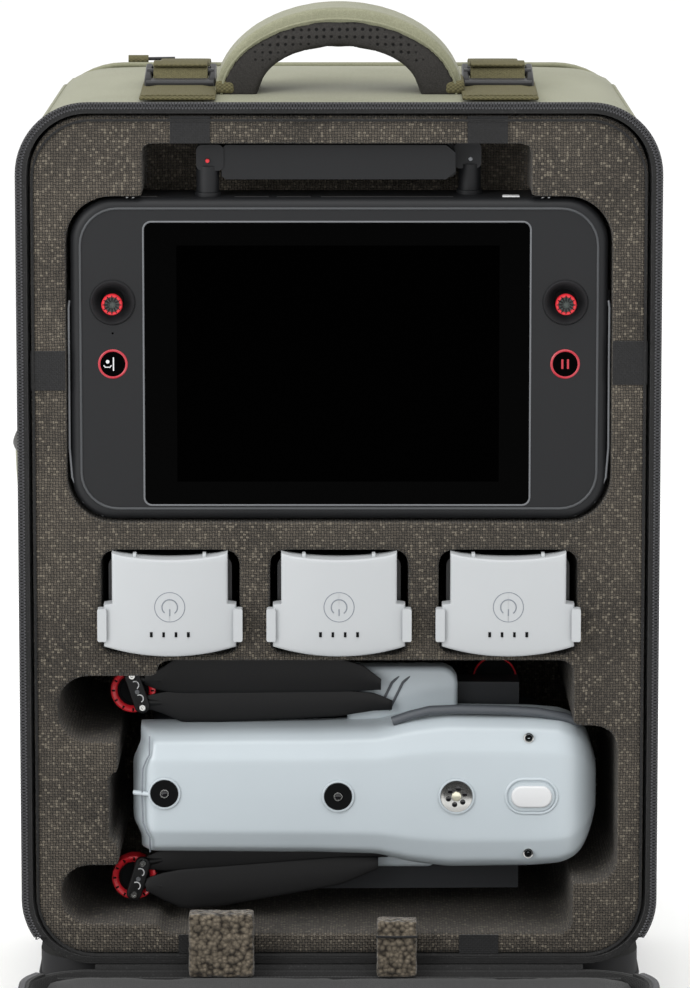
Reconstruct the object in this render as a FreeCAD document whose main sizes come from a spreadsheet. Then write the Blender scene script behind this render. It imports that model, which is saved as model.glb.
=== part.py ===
import FreeCAD, Part
import math
import os
import Sketcher

# Soft-sided drone carrying case standing on its base, lid hinged down at the front.
# X is width, Y is depth (the open front faces -Y), Z is up; millimetres throughout.

os.makedirs("parts", exist_ok=True)
doc = FreeCAD.newDocument("drone_case")
sheet = doc.addObject("Spreadsheet::Sheet", "dims")

SIZES = [
    ("case_w", 318.0, "outside width of the fabric shell"),
    ("case_tall", 438.0, "outside height of the fabric shell"),
    ("case_d", 205.0, "depth of the shell behind the zip line"),
    ("base_tall", 32.0, "height of the moulded base under the shell"),
    ("corner", 34.0, "corner radius of the shell outline"),
    ("wall", 3.5, "thickness of the padded shell wall"),
    ("skin", 1.2, "thickness of the lining"),
    ("back_round", 14.0, "radius round the back edge"),
    ("zip_over", 2.0, "how far the zip stands out past the shell"),
    ("zip_thick", 1.5, "thickness of one side of the zip"),
    ("zip_gap", 0.2, "gap between the two sides of the zip when shut"),
    ("zip_foot", 14.0, "height above the hinge where the zip ends"),
    ("foam_gap", 0.3, "free space between foam and lining"),
    ("foam_set", 1.0, "how far the foam face sits behind the zip line"),
    ("foam_deep", 146.0, "thickness of the cut foam block"),
    ("lid_deep", 28.5, "depth of the lid tray"),
    ("lid_wall", 3.0, "thickness of the lid wall"),
    ("pad_tall", 25.5, "how far the lid blocks stand up"),
    ("handle_half", 52.0, "half span of the grip on its underside"),
    ("handle_rise", 45.0, "height of the grip over the shell"),
    ("handle_wide", 35.0, "width of the grip"),
    ("handle_at", -48.0, "depth position of the grip"),
    ("webbing", 38.0, "width of the sewn webbing"),
    ("ctrl_w", 268.5, "width of the controller"),
    ("ctrl_tall", 162.5, "height of the controller"),
    ("ctrl_deep", 40.0, "thickness of the controller"),
    ("ctrl_up", 310.3, "height of the controller centre above the hinge"),
    ("ctrl_round", 22.0, "corner radius of the controller"),
    ("stick_out", 113.0, "distance of each stick from the centre"),
    ("pack_w", 62.0, "width of a battery"),
    ("pack_tall", 47.8, "height of a battery"),
    ("pack_deep", 92.0, "length of a battery behind its cap"),
    ("pack_step", 85.0, "spacing of the batteries"),
    ("pack_up", 160.5, "height of the lower edge of the caps above the hinge"),
    ("cap_w", 66.5, "width of a battery cap"),
    ("cap_tall", 52.3, "height of a battery cap"),
    ("drone_long", 236.0, "length of the folded drone"),
    ("drone_half", 40.5, "half width of the drone body"),
    ("drone_deep", 102.0, "height of the drone, front to back in its bay"),
    ("drone_left", -105.0, "left end of the drone"),
    ("drone_up", 86.2, "height of the drone centre line above the hinge"),
    ("motor_out", 49.0, "distance of each motor from the centre line"),
    ("motor_round", 11.5, "radius of a motor"),
    ("bay_foot", 15.2, "lower edge of the drone bay above the hinge"),
    ("bay_head", 157.0, "upper edge of the drone bay above the hinge"),
]


class Size:
    """A length kept together with the sheet expression that gives it."""

    def __init__(self, text, value):
        self.text = text
        self.value = value

    def __add__(self, other):
        return Size("(%s + %s)" % (self.text, word(other)), self.value + number(other))

    def __radd__(self, other):
        return self + other

    def __sub__(self, other):
        return Size("(%s - %s)" % (self.text, word(other)), self.value - number(other))

    def __rsub__(self, other):
        return Size("(%s - %s)" % (word(other), self.text), number(other) - self.value)

    def __mul__(self, other):
        return Size("(%s * %s)" % (self.text, word(other)), self.value * number(other))

    def __rmul__(self, other):
        return self * other

    def __truediv__(self, other):
        return Size("(%s / %s)" % (self.text, word(other)), self.value / number(other))

    def __neg__(self):
        return Size("(0 - %s)" % self.text, -self.value)


def word(size):
    return size.text if isinstance(size, Size) else "%.4f" % size


def number(size):
    return size.value if isinstance(size, Size) else float(size)


def larger(first, second):
    return Size("max(%s; %s)" % (word(first), word(second)), max(number(first), number(second)))


def bind(item, prop, size):
    item.setExpression(prop, word(size))


D = {}
for row, (alias, value, note) in enumerate(SIZES, start=1):
    sheet.set("A%d" % row, alias)
    sheet.set("B%d" % row, str(value))
    sheet.setAlias("B%d" % row, alias)
    sheet.set("C%d" % row, note)
    D[alias] = Size("dims." + alias, value)
doc.recompute()

NODES = []


def new_body(label, x, y, z, turn=0.0):
    body = doc.addObject("PartDesign::Body", label)
    body.Label = label
    body.AllowCompound = True
    spin = FreeCAD.Rotation(FreeCAD.Vector(1, 0, 0), turn)
    body.Placement = FreeCAD.Placement(FreeCAD.Vector(0, 0, 0), spin)
    bind(body, "Placement.Base.x", x)
    bind(body, "Placement.Base.y", y)
    bind(body, "Placement.Base.z", z)
    NODES.append(body)
    return body


def new_sketch(body, side, offset):
    sketch = body.newObject("Sketcher::SketchObject", body.Label + "_sketch")
    plane = [f for f in body.Origin.OriginFeatures if f.Role == side + "_Plane"][0]
    sketch.AttachmentSupport = [(plane, "")]
    sketch.MapMode = "FlatFace"
    bind(sketch, "AttachmentOffset.Base.z", offset)
    return sketch


def dim(sketch, kind, geo, point, size):
    if kind == "Radius":
        index = sketch.addConstraint(Sketcher.Constraint("Radius", geo, number(size)))
    else:
        index = sketch.addConstraint(Sketcher.Constraint(kind, -1, 1, geo, point, number(size)))
    name = "size_%d" % index
    sketch.renameConstraint(index, name)
    bind(sketch, "Constraints." + name, size)


def add_outline(sketch, points):
    spots = [FreeCAD.Vector(number(u), number(v), 0) for u, v in points]
    lines = []
    for start, end in zip(spots, spots[1:] + spots[:1]):
        lines.append(sketch.addGeometry(Part.LineSegment(start, end), False))
    for first, second in zip(lines, lines[1:] + lines[:1]):
        sketch.addConstraint(Sketcher.Constraint("Coincident", first, 2, second, 1))
    for line, (u, v) in zip(lines, points):
        dim(sketch, "DistanceX", line, 1, u)
        dim(sketch, "DistanceY", line, 1, v)


def add_rounded(sketch, left, right, low, high, radius):
    if number(radius) <= 0:
        add_outline(sketch, [(left, low), (right, low), (right, high), (left, high)])
        return
    x0, x1, y0, y1, r = [number(v) for v in (left, right, low, high, radius)]
    up = FreeCAD.Vector(0, 0, 1)
    corners = [(x1 - r, y0 + r, -0.5), (x1 - r, y1 - r, 0.0), (x0 + r, y1 - r, 0.5), (x0 + r, y0 + r, 1.0)]
    sides = [(x0 + r, y0, x1 - r, y0), (x1, y0 + r, x1, y1 - r), (x1 - r, y1, x0 + r, y1), (x0, y1 - r, x0, y0 + r)]
    geo = []
    for (a, b, c, d), (cx, cy, turn) in zip(sides, corners):
        line = Part.LineSegment(FreeCAD.Vector(a, b, 0), FreeCAD.Vector(c, d, 0))
        circle = Part.Circle(FreeCAD.Vector(cx, cy, 0), up, r)
        geo.append(sketch.addGeometry(line, False))
        geo.append(sketch.addGeometry(Part.ArcOfCircle(circle, turn * math.pi, (turn + 0.5) * math.pi), False))
    for first, second in zip(geo, geo[1:] + geo[:1]):
        sketch.addConstraint(Sketcher.Constraint("Tangent", first, 2, second, 1))
    for level in (geo[0], geo[4]):
        sketch.addConstraint(Sketcher.Constraint("Horizontal", level))
    for upright in (geo[2], geo[6]):
        sketch.addConstraint(Sketcher.Constraint("Vertical", upright))
    for arc in (geo[3], geo[5], geo[7]):
        sketch.addConstraint(Sketcher.Constraint("Equal", geo[1], arc))
    dim(sketch, "Radius", geo[1], 0, radius)
    dim(sketch, "DistanceY", geo[0], 1, low)
    dim(sketch, "DistanceX", geo[2], 1, right)
    dim(sketch, "DistanceY", geo[4], 1, high)
    dim(sketch, "DistanceX", geo[6], 1, left)


def add_circle(sketch, x, y, radius):
    circle = Part.Circle(FreeCAD.Vector(number(x), number(y), 0), FreeCAD.Vector(0, 0, 1), number(radius))
    geo = sketch.addGeometry(circle, False)
    dim(sketch, "Radius", geo, 0, radius)
    dim(sketch, "DistanceX", geo, 3, x)
    dim(sketch, "DistanceY", geo, 3, y)


def extrude(kind, body, sketch, length, back=False, both=False):
    feature = body.newObject("PartDesign::" + kind, body.Label + "_" + kind.lower())
    feature.Profile = sketch
    feature.Reversed = back
    feature.Midplane = both
    bind(feature, "Length", length)
    sketch.Visibility = False
    return feature


def block(body, side, offset, span, length, radius=0.0, kind="Pad", back=False):
    """Rounded rectangle pad or pocket; span is (left, right, low, high) in the plane."""
    sketch = new_sketch(body, side, offset)
    add_rounded(sketch, span[0], span[1], span[2], span[3], radius)
    return extrude(kind, body, sketch, length, back)


def shape(body, side, offset, points, length, kind="Pad", back=False):
    sketch = new_sketch(body, side, offset)
    add_outline(sketch, points)
    return extrude(kind, body, sketch, length, back)


def disc(body, side, offset, x, y, radius, length, kind="Pad", back=False):
    sketch = new_sketch(body, side, offset)
    add_circle(sketch, x, y, radius)
    return extrude(kind, body, sketch, length, back)


def ring(body, offset, outer, outer_round, inner, inner_round, length):
    sketch = new_sketch(body, "XZ", offset)
    add_rounded(sketch, *outer, outer_round)
    add_rounded(sketch, *inner, inner_round)
    return extrude("Pad", body, sketch, length)


def round_edges(body, feature, radius, axis, level):
    """Round every edge of the feature that lies flat at one level along an axis."""
    doc.recompute()
    names = []
    for index, edge in enumerate(feature.Shape.Edges, start=1):
        box = edge.BoundBox
        low = (box.XMin, box.YMin, box.ZMin)[axis]
        high = (box.XMax, box.YMax, box.ZMax)[axis]
        if abs(low - level) < 0.01 and abs(high - level) < 0.01:
            names.append("Edge%d" % index)
    fillet = body.newObject("PartDesign::Fillet", body.Label + "_fillet")
    fillet.Base = (feature, names)
    bind(fillet, "Radius", radius)
    return fillet


def inset(span, gap):
    return (span[0] + gap, span[1] - gap, span[2] + gap, span[3] - gap)


front = -D["case_d"] / 2
rear = D["case_d"] / 2
hinge = D["base_tall"]
top = D["base_tall"] + D["case_tall"]
wall = D["wall"]
skin = D["skin"]
outline = (-D["case_w"] / 2, D["case_w"] / 2, 0.0 * D["case_w"], D["case_tall"])
hollow = inset(outline, wall)
hollow_round = D["corner"] - wall
lined = inset(hollow, skin)
lined_round = hollow_round - skin
foam = inset(lined, D["foam_gap"])
foam_round = lined_round - D["foam_gap"]
back_wall = wall + 1.5

# Shell: one deep padded tray, open at the front.
body = new_body("case_shell", 0, rear, hinge)
pad = block(body, "XZ", 0, outline, D["case_d"], D["corner"])
fillet = round_edges(body, pad, D["back_round"], 1, 0.0)
block(body, "XZ", D["case_d"], hollow, D["case_d"] - back_wall, hollow_round, "Pocket")

# Base: moulded block that lifts the hinge clear of the ground.
body = new_body("base_boot", 0, 0, 0)
half_x = D["case_w"] / 2 - 6
half_y = D["case_d"] / 2 - 7
block(body, "XY", 0, (-half_x, half_x, -half_y, half_y), hinge, 27.0)

# Lining, then the plain foam sheet behind and the cut foam block in front.
body = new_body("inner_lining", 0, rear - back_wall, hinge)
length = D["case_d"] - back_wall
block(body, "XZ", 0, hollow, length, hollow_round)
block(body, "XZ", length, lined, length - skin, lined_round, "Pocket")
body = new_body("foam_base", 0, rear - back_wall - skin, hinge)
sheet_deep = D["case_d"] - back_wall - skin - D["foam_set"] - D["foam_deep"]
block(body, "XZ", 0, foam, sheet_deep, foam_round)

foam_face = front + D["foam_set"]
body = new_body("foam_insert", 0, foam_face + D["foam_deep"], hinge)
deep = D["foam_deep"]
block(body, "XZ", 0, foam, deep, foam_round)
ctrl_x = D["ctrl_w"] / 2
ctrl_low = D["ctrl_up"] - D["ctrl_tall"] / 2
ctrl_high = D["ctrl_up"] + D["ctrl_tall"] / 2
bay = (-ctrl_x - 2.2, ctrl_x + 2.2, ctrl_low - 1.2, ctrl_high + 1.0)
block(body, "XZ", deep, bay, D["ctrl_deep"] + 1.6, D["ctrl_round"] + 1.0, "Pocket")
slot = (-0.365 * D["ctrl_w"], 0.357 * D["ctrl_w"], ctrl_high - 20, ctrl_high + 27.5)
block(body, "XZ", deep, slot, D["ctrl_deep"] + 1.6, 3.0, "Pocket")
pack_high = D["pack_up"] + larger(D["cap_tall"], D["pack_tall"] + 1.6)
for step in (-1, 0, 1):
    middle = step * D["pack_step"]
    half = larger(D["cap_w"], D["pack_w"]) / 2 + 1.6
    cell = (middle - half, middle + half, D["pack_up"] - 0.5, pack_high + 0.8)
    block(body, "XZ", deep, cell, D["pack_deep"] + 6.0, 7.0, "Pocket")
up = D["drone_up"]
arm = D["motor_out"]
left = D["drone_left"]
nose = left + D["drone_long"]
BAYS = [
    ((left + 13, nose - 12.5, D["bay_foot"], D["bay_head"]), 6.0),
    ((left - 7, left + 60, up - 48, up + 37), 4.0),
    ((left - 11.5, left + 20, up - 24.5, up + 13), 4.0),
    ((left - 37, left + 30, up + arm - 20.5, up + arm + 13.5), 15.0),
    ((left - 36, left + 30, up - arm - 17.0, up - arm + 13.5), 14.0),
    ((nose - 31, nose + 10, up - 44.5, up + 37), 12.0),
]
for span, radius in BAYS:
    block(body, "XZ", deep, span, deep + 1, radius, "Pocket")

# Elastic bands that hold the rim of the foam block.
body = new_body("elastic_tabs", 0, foam_face, hinge)
slot_head = slot[3]
BANDS = [
    (foam[0], bay[0] - 0.3, ctrl_low + 66, ctrl_low + 86),
    (bay[1] + 0.3, foam[1], ctrl_low + 69, ctrl_low + 91),
    (slot[0] + 14, slot[0] + 34, slot_head + 0.3, foam[3]),
    (slot[1] - 32, slot[1] - 12, slot_head + 0.3, foam[3]),
    (left + 23.5, left + 43.5, foam[2], D["bay_foot"] - 0.3),
    (nose - 70, nose - 50, foam[2], D["bay_foot"] - 0.3),
]
for span in BANDS:
    block(body, "XZ", 0, span, 0.6)

# Zip: one U-shaped side on the shell, the matching side on the lid.
zip_out = (outline[0] - D["zip_over"], outline[1] + D["zip_over"], outline[2] - 2, outline[3] + D["zip_over"])
zip_round = D["corner"] + D["zip_over"]
zip_cut = (zip_out[0] - 5, zip_out[1] + 5, zip_out[2] - 5, outline[2] + D["zip_foot"])
body = new_body("body_zip", 0, front, hinge)
ring(body, 0, zip_out, zip_round, hollow, hollow_round, D["zip_thick"])
block(body, "XZ", D["zip_thick"], zip_cut, D["zip_thick"] + 1, 0.0, "Pocket")

# Piping sewn round the shell ahead of the rounded back edge.
body = new_body("corner_piping", 0, rear - D["back_round"] - 4, hinge)
pipe = inset(outline, -1.6)
ring(body, 0, pipe, D["corner"] + 1.6, outline, D["corner"], 3.2)
under = (pipe[0] - 5, pipe[1] + 5, pipe[2] - 5, outline[2])
block(body, "XZ", 3.2, under, 4.2, 0.0, "Pocket")

# Cloth strip under the front edge that carries the hinge seam.
body = new_body("hinge_strip", 0, front, hinge)
flat = D["case_w"] / 2 - D["corner"]
block(body, "XY", -1.4, (-flat, flat, 0.6, 6.6), 1.4)

# Slip pocket on the left side, open at its top.
body = new_body("side_pocket", -D["case_w"] / 2, 0, 0)
pocket = (-66.0, 66.0, hinge + 38, hinge + 258)
pad = block(body, "YZ", -13.0, pocket, 13.0, 9.0)
pouch = (-64.2, 64.2, hinge + 40, hinge + 262)
block(body, "YZ", 0, pouch, 11.2, 7.0, "Pocket")

# Padded grip: cloth over the top, open mesh under the hand.
arch_foot = 0.4


def arch(sketch, half, rise):
    reach = number(rise) - arch_foot
    radius = (number(half) ** 2 + reach ** 2) / (2 * reach)
    middle = FreeCAD.Vector(0, number(rise) - radius, 0)
    turn = math.atan2(arch_foot - middle.y, number(half))
    circle = Part.Circle(middle, FreeCAD.Vector(0, 0, 1), radius)
    geo = sketch.addGeometry(Part.ArcOfCircle(circle, turn, math.pi - turn), False)
    sketch.addConstraint(Sketcher.Constraint("PointOnObject", geo, 3, -2))
    dim(sketch, "DistanceX", geo, 1, half)
    dim(sketch, "DistanceY", geo, 1, arch_foot)
    dim(sketch, "DistanceX", geo, 2, -half)
    gap = rise - arch_foot
    dim(sketch, "Radius", geo, 0, (half * half + gap * gap) / (2 * gap))
    return geo


def trim_grip(body):
    """Round the two ends about the fold line so that the grip can lie down."""
    half = D["handle_wide"] / 2
    for side in (-1, 1):
        sketch = new_sketch(body, "YZ", -90)
        far = side * (half + 4)
        points = [(0.0, -3.0), (far, -3.0), (far, half + 0.3), (side * half, half + 0.3),
                  (side * half * 0.924, half * 0.617 + 0.3), (side * half * 0.707, half * 0.293 + 0.3),
                  (side * half * 0.383, half * 0.076 + 0.3), (0.0, 0.3)]
        add_outline(sketch, points)
        extrude("Pocket", body, sketch, 180.0, True)


def band(label, half_low, rise_low, half_high, rise_high):
    body = new_body(label, 0, D["handle_at"], top)
    sketch = new_sketch(body, "XZ", -D["handle_wide"] / 2)
    low = arch(sketch, half_low, rise_low)
    high = arch(sketch, half_high, rise_high)
    for end in (1, 2):
        start = sketch.getPoint(low, end)
        stop = sketch.getPoint(high, end)
        line = sketch.addGeometry(Part.LineSegment(start, stop), False)
        sketch.addConstraint(Sketcher.Constraint("Coincident", line, 1, low, end))
        sketch.addConstraint(Sketcher.Constraint("Coincident", line, 2, high, end))
    extrude("Pad", body, sketch, D["handle_wide"])
    trim_grip(body)


half = D["handle_half"]
rise = D["handle_rise"]
band("handle_mesh", half, rise - 18, half + 4.5, rise - 9)
band("handle_pad", half + 4.5, rise - 9, half + 9, rise)

# Sewn webbing patches, buckles and straps on each side of the grip.
patch_in = D["handle_half"] + 9.5
patch_out = patch_in + D["webbing"]
body = new_body("anchor_webbing", 0, 0, top)
for side in (-1, 1):
    span = (side * patch_in, side * patch_out) if side > 0 else (-patch_out, -patch_in)
    block(body, "XY", 0, (span[0], span[1], front + 14, front + 84), 2.2)
buckle_y = front + 66
body = new_body("anchor_buckles", 0, 0, top + 2.2)
for side in (-1, 1):
    low = patch_in + 1 if side > 0 else -patch_out + 1
    high = patch_out - 1 if side > 0 else -patch_in - 1
    for rail in ((low, low + 4), (high - 4, high)):
        block(body, "XY", 0, (rail[0], rail[1], buckle_y, buckle_y + 30), 9.0)
    for along, lift in ((0.0, 0.0), (12.0, 3.5), (25.0, 4.5)):
        block(body, "XY", lift, (low + 4, high - 4, buckle_y + along, buckle_y + along + 5), 4.0)

# Webbing that runs from the buckles over the back edge, and down the back.
body = new_body("strap_webbing", 0, 0, 0)
run_y = buckle_y + 31
upper = [(run_y, top + 2.6), (run_y, top + 6.2), (rear - 26, top + 3.7), (rear - 11, top + 3.7),
         (rear + 6, top - 6), (rear + 12.4, top - 25.7), (rear + 10.6, top - 25.7), (rear + 4.6, top - 7),
         (rear - 12, top + 1.9), (rear - 26, top + 1.9)]
lower = [(rear + 12.2, top - 288), (rear + 10.4, top - 288), (rear + 10.4, hinge + 47),
         (rear + 0.2, hinge + 30), (rear + 0.2, hinge + 16), (rear + 2.0, hinge + 16),
         (rear + 2.0, hinge + 29), (rear + 12.2, hinge + 46)]
for side in (-1, 1):
    low = patch_in + 6 if side > 0 else -patch_out + 6
    shape(body, "YZ", low, upper, D["webbing"] - 12)
    low = patch_in + 4 if side > 0 else -patch_out + 10
    shape(body, "YZ", low, lower, 24.0)

# Padded shoulder straps and the pads they lie on.
STRAP = [(12, -26), (13.5, -30), (30, -90), (36, -150), (32, -210), (13, -272), (11, -277),
         (10.4, -270), (19, -208), (23, -150), (18, -92), (10.4, -40), (10.4, -28.4)]
body = new_body("shoulder_straps", 0, rear, top)
for side in (-1, 1):
    low = patch_in - 12 if side > 0 else -patch_out - 12
    points = [(0.0 * rear + y, 0.0 * rear + z) for y, z in STRAP]
    shape(body, "YZ", low, points, D["webbing"] + 24)
body = new_body("strap_adjusters", 0, rear, top)
for side in (-1, 1):
    low = patch_in + 1 if side > 0 else -patch_out + 7
    high = low + 30
    for rail in ((low, low + 3), (high - 3, high)):
        block(body, "XY", -312.0, (rail[0], rail[1], 10.4, 15.0), 32.0)
    for lift in (-312.0, -298.0, -284.0):
        block(body, "XY", lift, (low + 3, high - 3, 12.4, 15.0), 4.0)
body = new_body("back_pads", 0, rear + 10, hinge)
wide = D["case_w"] / 2
for side in (-1, 1):
    span = (side * 0.06 * D["case_w"], side * (wide - 24)) if side > 0 else (-(wide - 24), -0.06 * D["case_w"])
    block(body, "XZ", 0, (span[0], span[1], 190.0, D["case_tall"] - 44), 10.0, 14.0)
block(body, "XZ", 0, (-(wide - 44), wide - 44, 50.0, 165.0), 10.0, 16.0)

# Lid: shallow padded tray, drawn about the hinge line and laid open.
lid_from = D["zip_thick"] + D["zip_gap"]
rim = lid_from + D["zip_thick"]
lid_hollow = inset(outline, D["lid_wall"])
lid_round = D["corner"] - D["lid_wall"]
lid_floor = rim + D["lid_deep"] - D["lid_wall"]
body = new_body("lid_zip", 0, front, hinge, 90.0)
ring(body, lid_from, zip_out, zip_round, lid_hollow, lid_round, D["zip_thick"])
block(body, "XZ", rim, zip_cut, D["zip_thick"] + 1, 0.0, "Pocket")
body = new_body("lid_shell", 0, front, hinge, 90.0)
pad = block(body, "XZ", rim, outline, D["lid_deep"], D["corner"])
fillet = round_edges(body, pad, 8.0, 1, -number(rim + D["lid_deep"]))
block(body, "XZ", rim, lid_hollow, lid_floor - rim, lid_round, "Pocket", True)
body = new_body("lid_lining", 0, front, hinge, 90.0)
block(body, "XZ", rim, lid_hollow, lid_floor - rim, lid_round)
lid_lined = inset(lid_hollow, skin)
block(body, "XZ", rim, lid_lined, lid_floor - skin - rim, lid_round - skin, "Pocket", True)

# Raised cushion across the lid near the hinge, and the two blocks on it.
body = new_body("lid_panel", 0, front, hinge, 90.0)
cushion = (lid_lined[0] + 6, lid_lined[1] - 6, 9.0 + 0.0 * wall, 0.24 * D["case_tall"])
cushion_face = 5.0
block(body, "XZ", cushion_face, cushion, lid_floor - skin - cushion_face, 12.0)
for label, left_edge, right_edge, high in (("lid_pad_left", -75.0, -41.0, 43.0), ("lid_pad_right", 21.0, 41.5, 38.5)):
    body = new_body(label, 0, front, hinge, 90.0)
    reach = D["pad_tall"]
    block(body, "XZ", cushion_face - reach, (left_edge, right_edge, 18.0, high), reach, 2.0)

# Zip sliders with their cord pulls, riding the straight sides of the lid.
side_x = outline[1] + D["zip_over"]
for label, side in (("zip_slider_left", -1), ("zip_slider_right", 1)):
    body = new_body(label, 0, front, hinge, 90.0)
    hook = rim + 0.08
    section = [(side * (side_x + 4), 1.4), (side * (side_x + 4), -(hook + 3)),
               (side * (side_x - 1.7), -(hook + 3)), (side * (side_x - 1.7), -hook),
               (side * (side_x + 0.08), -hook), (side * (side_x + 0.08), 1.4)]
    shape(body, "XY", 120.0, section, 14.0)
    tab = sorted((side, 3 * side))
    edge = (side_x + 4, side_x + 6) if side > 0 else (-side_x - 6, -side_x - 4)
    block(body, "XZ", hook - 2, (edge[0], edge[1], 96.0, 131.0), 4.5)

# Controller: a tablet-like housing lying face out in its own bay.
face = 2.0
ctrl_y = front + face + D["ctrl_deep"]
ctrl_z = hinge + D["ctrl_up"]
half_w = D["ctrl_w"] / 2
half_t = D["ctrl_tall"] / 2
thick = D["ctrl_deep"]
stick = D["stick_out"]
well = 11.5
body = new_body("controller_shell", 0, ctrl_y, ctrl_z)
pad = block(body, "XZ", 0, (-half_w, half_w, -half_t, half_t), thick, D["ctrl_round"])
fillet = round_edges(body, pad, 5.0, 1, -number(thick))
fillet = round_edges(body, fillet, 7.0, 1, 0.0)
glass = (-0.359 * D["ctrl_w"] - 1, 0.359 * D["ctrl_w"] - 1, -0.4525 * D["ctrl_tall"], 0.4275 * D["ctrl_tall"])
block(body, "XZ", thick, glass, 3.0, 3.0, "Pocket")
for side in (-1, 1):
    disc(body, "XZ", thick, side * stick, 29.0, well, 17.0, "Pocket")
    disc(body, "XZ", thick, side * stick, -2.0, 6.58, 4.5, "Pocket")
body = new_body("controller_glass", 0, ctrl_y, ctrl_z)
plate = inset(glass, 0.1)
block(body, "XZ", thick - 3.0, plate, 2.8, 2.9)
view = (-0.3 * D["ctrl_w"] - 0.5, 0.3 * D["ctrl_w"] - 0.5, -0.38 * D["ctrl_tall"], 0.355 * D["ctrl_tall"])
block(body, "XZ", thick - 0.2, view, 0.8, 0.0, "Pocket")
body = new_body("controller_display", 0, ctrl_y, ctrl_z)
block(body, "XZ", thick - 1.0, inset(view, 0.05), 0.8)
body = new_body("controller_grips", 0, ctrl_y, ctrl_z)
for side in (-1, 1):
    span = (half_w, half_w + 1.2) if side > 0 else (-half_w - 1.2, -half_w)
    block(body, "XZ", 8.0, (span[0], span[1], -62.0, 34.0), thick - 17)

# Sticks: a ring that tips up and down, and a lever in it that tips across.
depth = 7.0
for label, side in (("left", -1), ("right", 1)):
    body = new_body("gimbal_" + label, side * stick, ctrl_y - thick + depth, ctrl_z + 29)
    disc(body, "XZ", -2.0, 0, 0, 9.6, 4.0)
    disc(body, "XZ", 2.0, 0, 0, 6.5, 4.0, "Pocket")
    body = new_body("stick_" + label, side * stick, ctrl_y - thick + depth, ctrl_z + 29)
    sketch = new_sketch(body, "YZ", 0)
    ball = Part.ArcOfCircle(Part.Circle(FreeCAD.Vector(0, 0, 0), FreeCAD.Vector(0, 0, 1), 6.42), 0, math.pi)
    geo = sketch.addGeometry(ball, False)
    floor = sketch.addGeometry(Part.LineSegment(FreeCAD.Vector(-6.42, 0, 0), FreeCAD.Vector(6.42, 0, 0)), False)
    sketch.addConstraint(Sketcher.Constraint("Coincident", geo, 1, floor, 2))
    sketch.addConstraint(Sketcher.Constraint("Coincident", geo, 2, floor, 1))
    sketch.addConstraint(Sketcher.Constraint("Coincident", geo, 3, -1, 1))
    sketch.addConstraint(Sketcher.Constraint("PointOnObject", geo, 1, -1))
    sketch.addConstraint(Sketcher.Constraint("PointOnObject", geo, 2, -1))
    dim(sketch, "Radius", geo, 0, 6.42)
    turned = body.newObject("PartDesign::Revolution", body.Label + "_revolution")
    turned.Profile = sketch
    turned.ReferenceAxis = (sketch, ["H_Axis"])
    turned.Angle = 360.0
    disc(body, "XZ", 5.0, 0, 0, 1.9, 5.0)
    disc(body, "XZ", 9.0, 0, 0, 5.0, 6.5)
    body = new_body("button_" + label, side * stick, ctrl_y - thick + 3.0, ctrl_z - 2)
    disc(body, "XZ", 0, 0, 0, 6.5, 3.4)

# Two blade antennas folded flat one behind the other above the controller.
ant_z = ctrl_z + half_t
ant_x = 0.2437 * D["ctrl_w"]
body = new_body("antenna_sockets", 0, 0, ant_z)
for across, back in ((-ant_x, 12.0), (ant_x, 21.5)):
    disc(body, "XY", 0, across, front + face + back, 6.6, 2.0)
body = new_body("antenna_front", -ant_x, front + face + 12.0, ant_z)
disc(body, "XY", 2.1, 0, 0, 5.7, 13.0)
block(body, "XZ", -4.5, (-5.7, 8.0, 13.0, 26.0), 9.0, 3.0)
blade = [(7.0, 10.2), (9.0, 8.6), (ant_x * 2 - 12, 8.6), (ant_x * 2 - 7.4, 12.5), (ant_x * 2 - 7.4, 22.0),
         (ant_x * 2 - 12, 25.8), (9.0, 25.8), (7.0, 24.0)]
shape(body, "XZ", -3.8, blade, 7.6)
body = new_body("antenna_rear", ant_x, front + face + 21.5, ant_z)
disc(body, "XY", 2.1, 0, 0, 5.7, 13.0)
block(body, "XZ", -4.5, (-8.0, 5.7, 13.0, 26.0), 9.0, 3.0)
blade = [(-7.0, 10.2), (-7.0, 24.0), (-9.0, 25.8), (12 - ant_x * 2, 25.8), (7.4 - ant_x * 2, 22.0),
         (7.4 - ant_x * 2, 12.5), (12 - ant_x * 2, 8.6), (-9.0, 8.6)]
shape(body, "XZ", -3.8, blade, 7.6)

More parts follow.
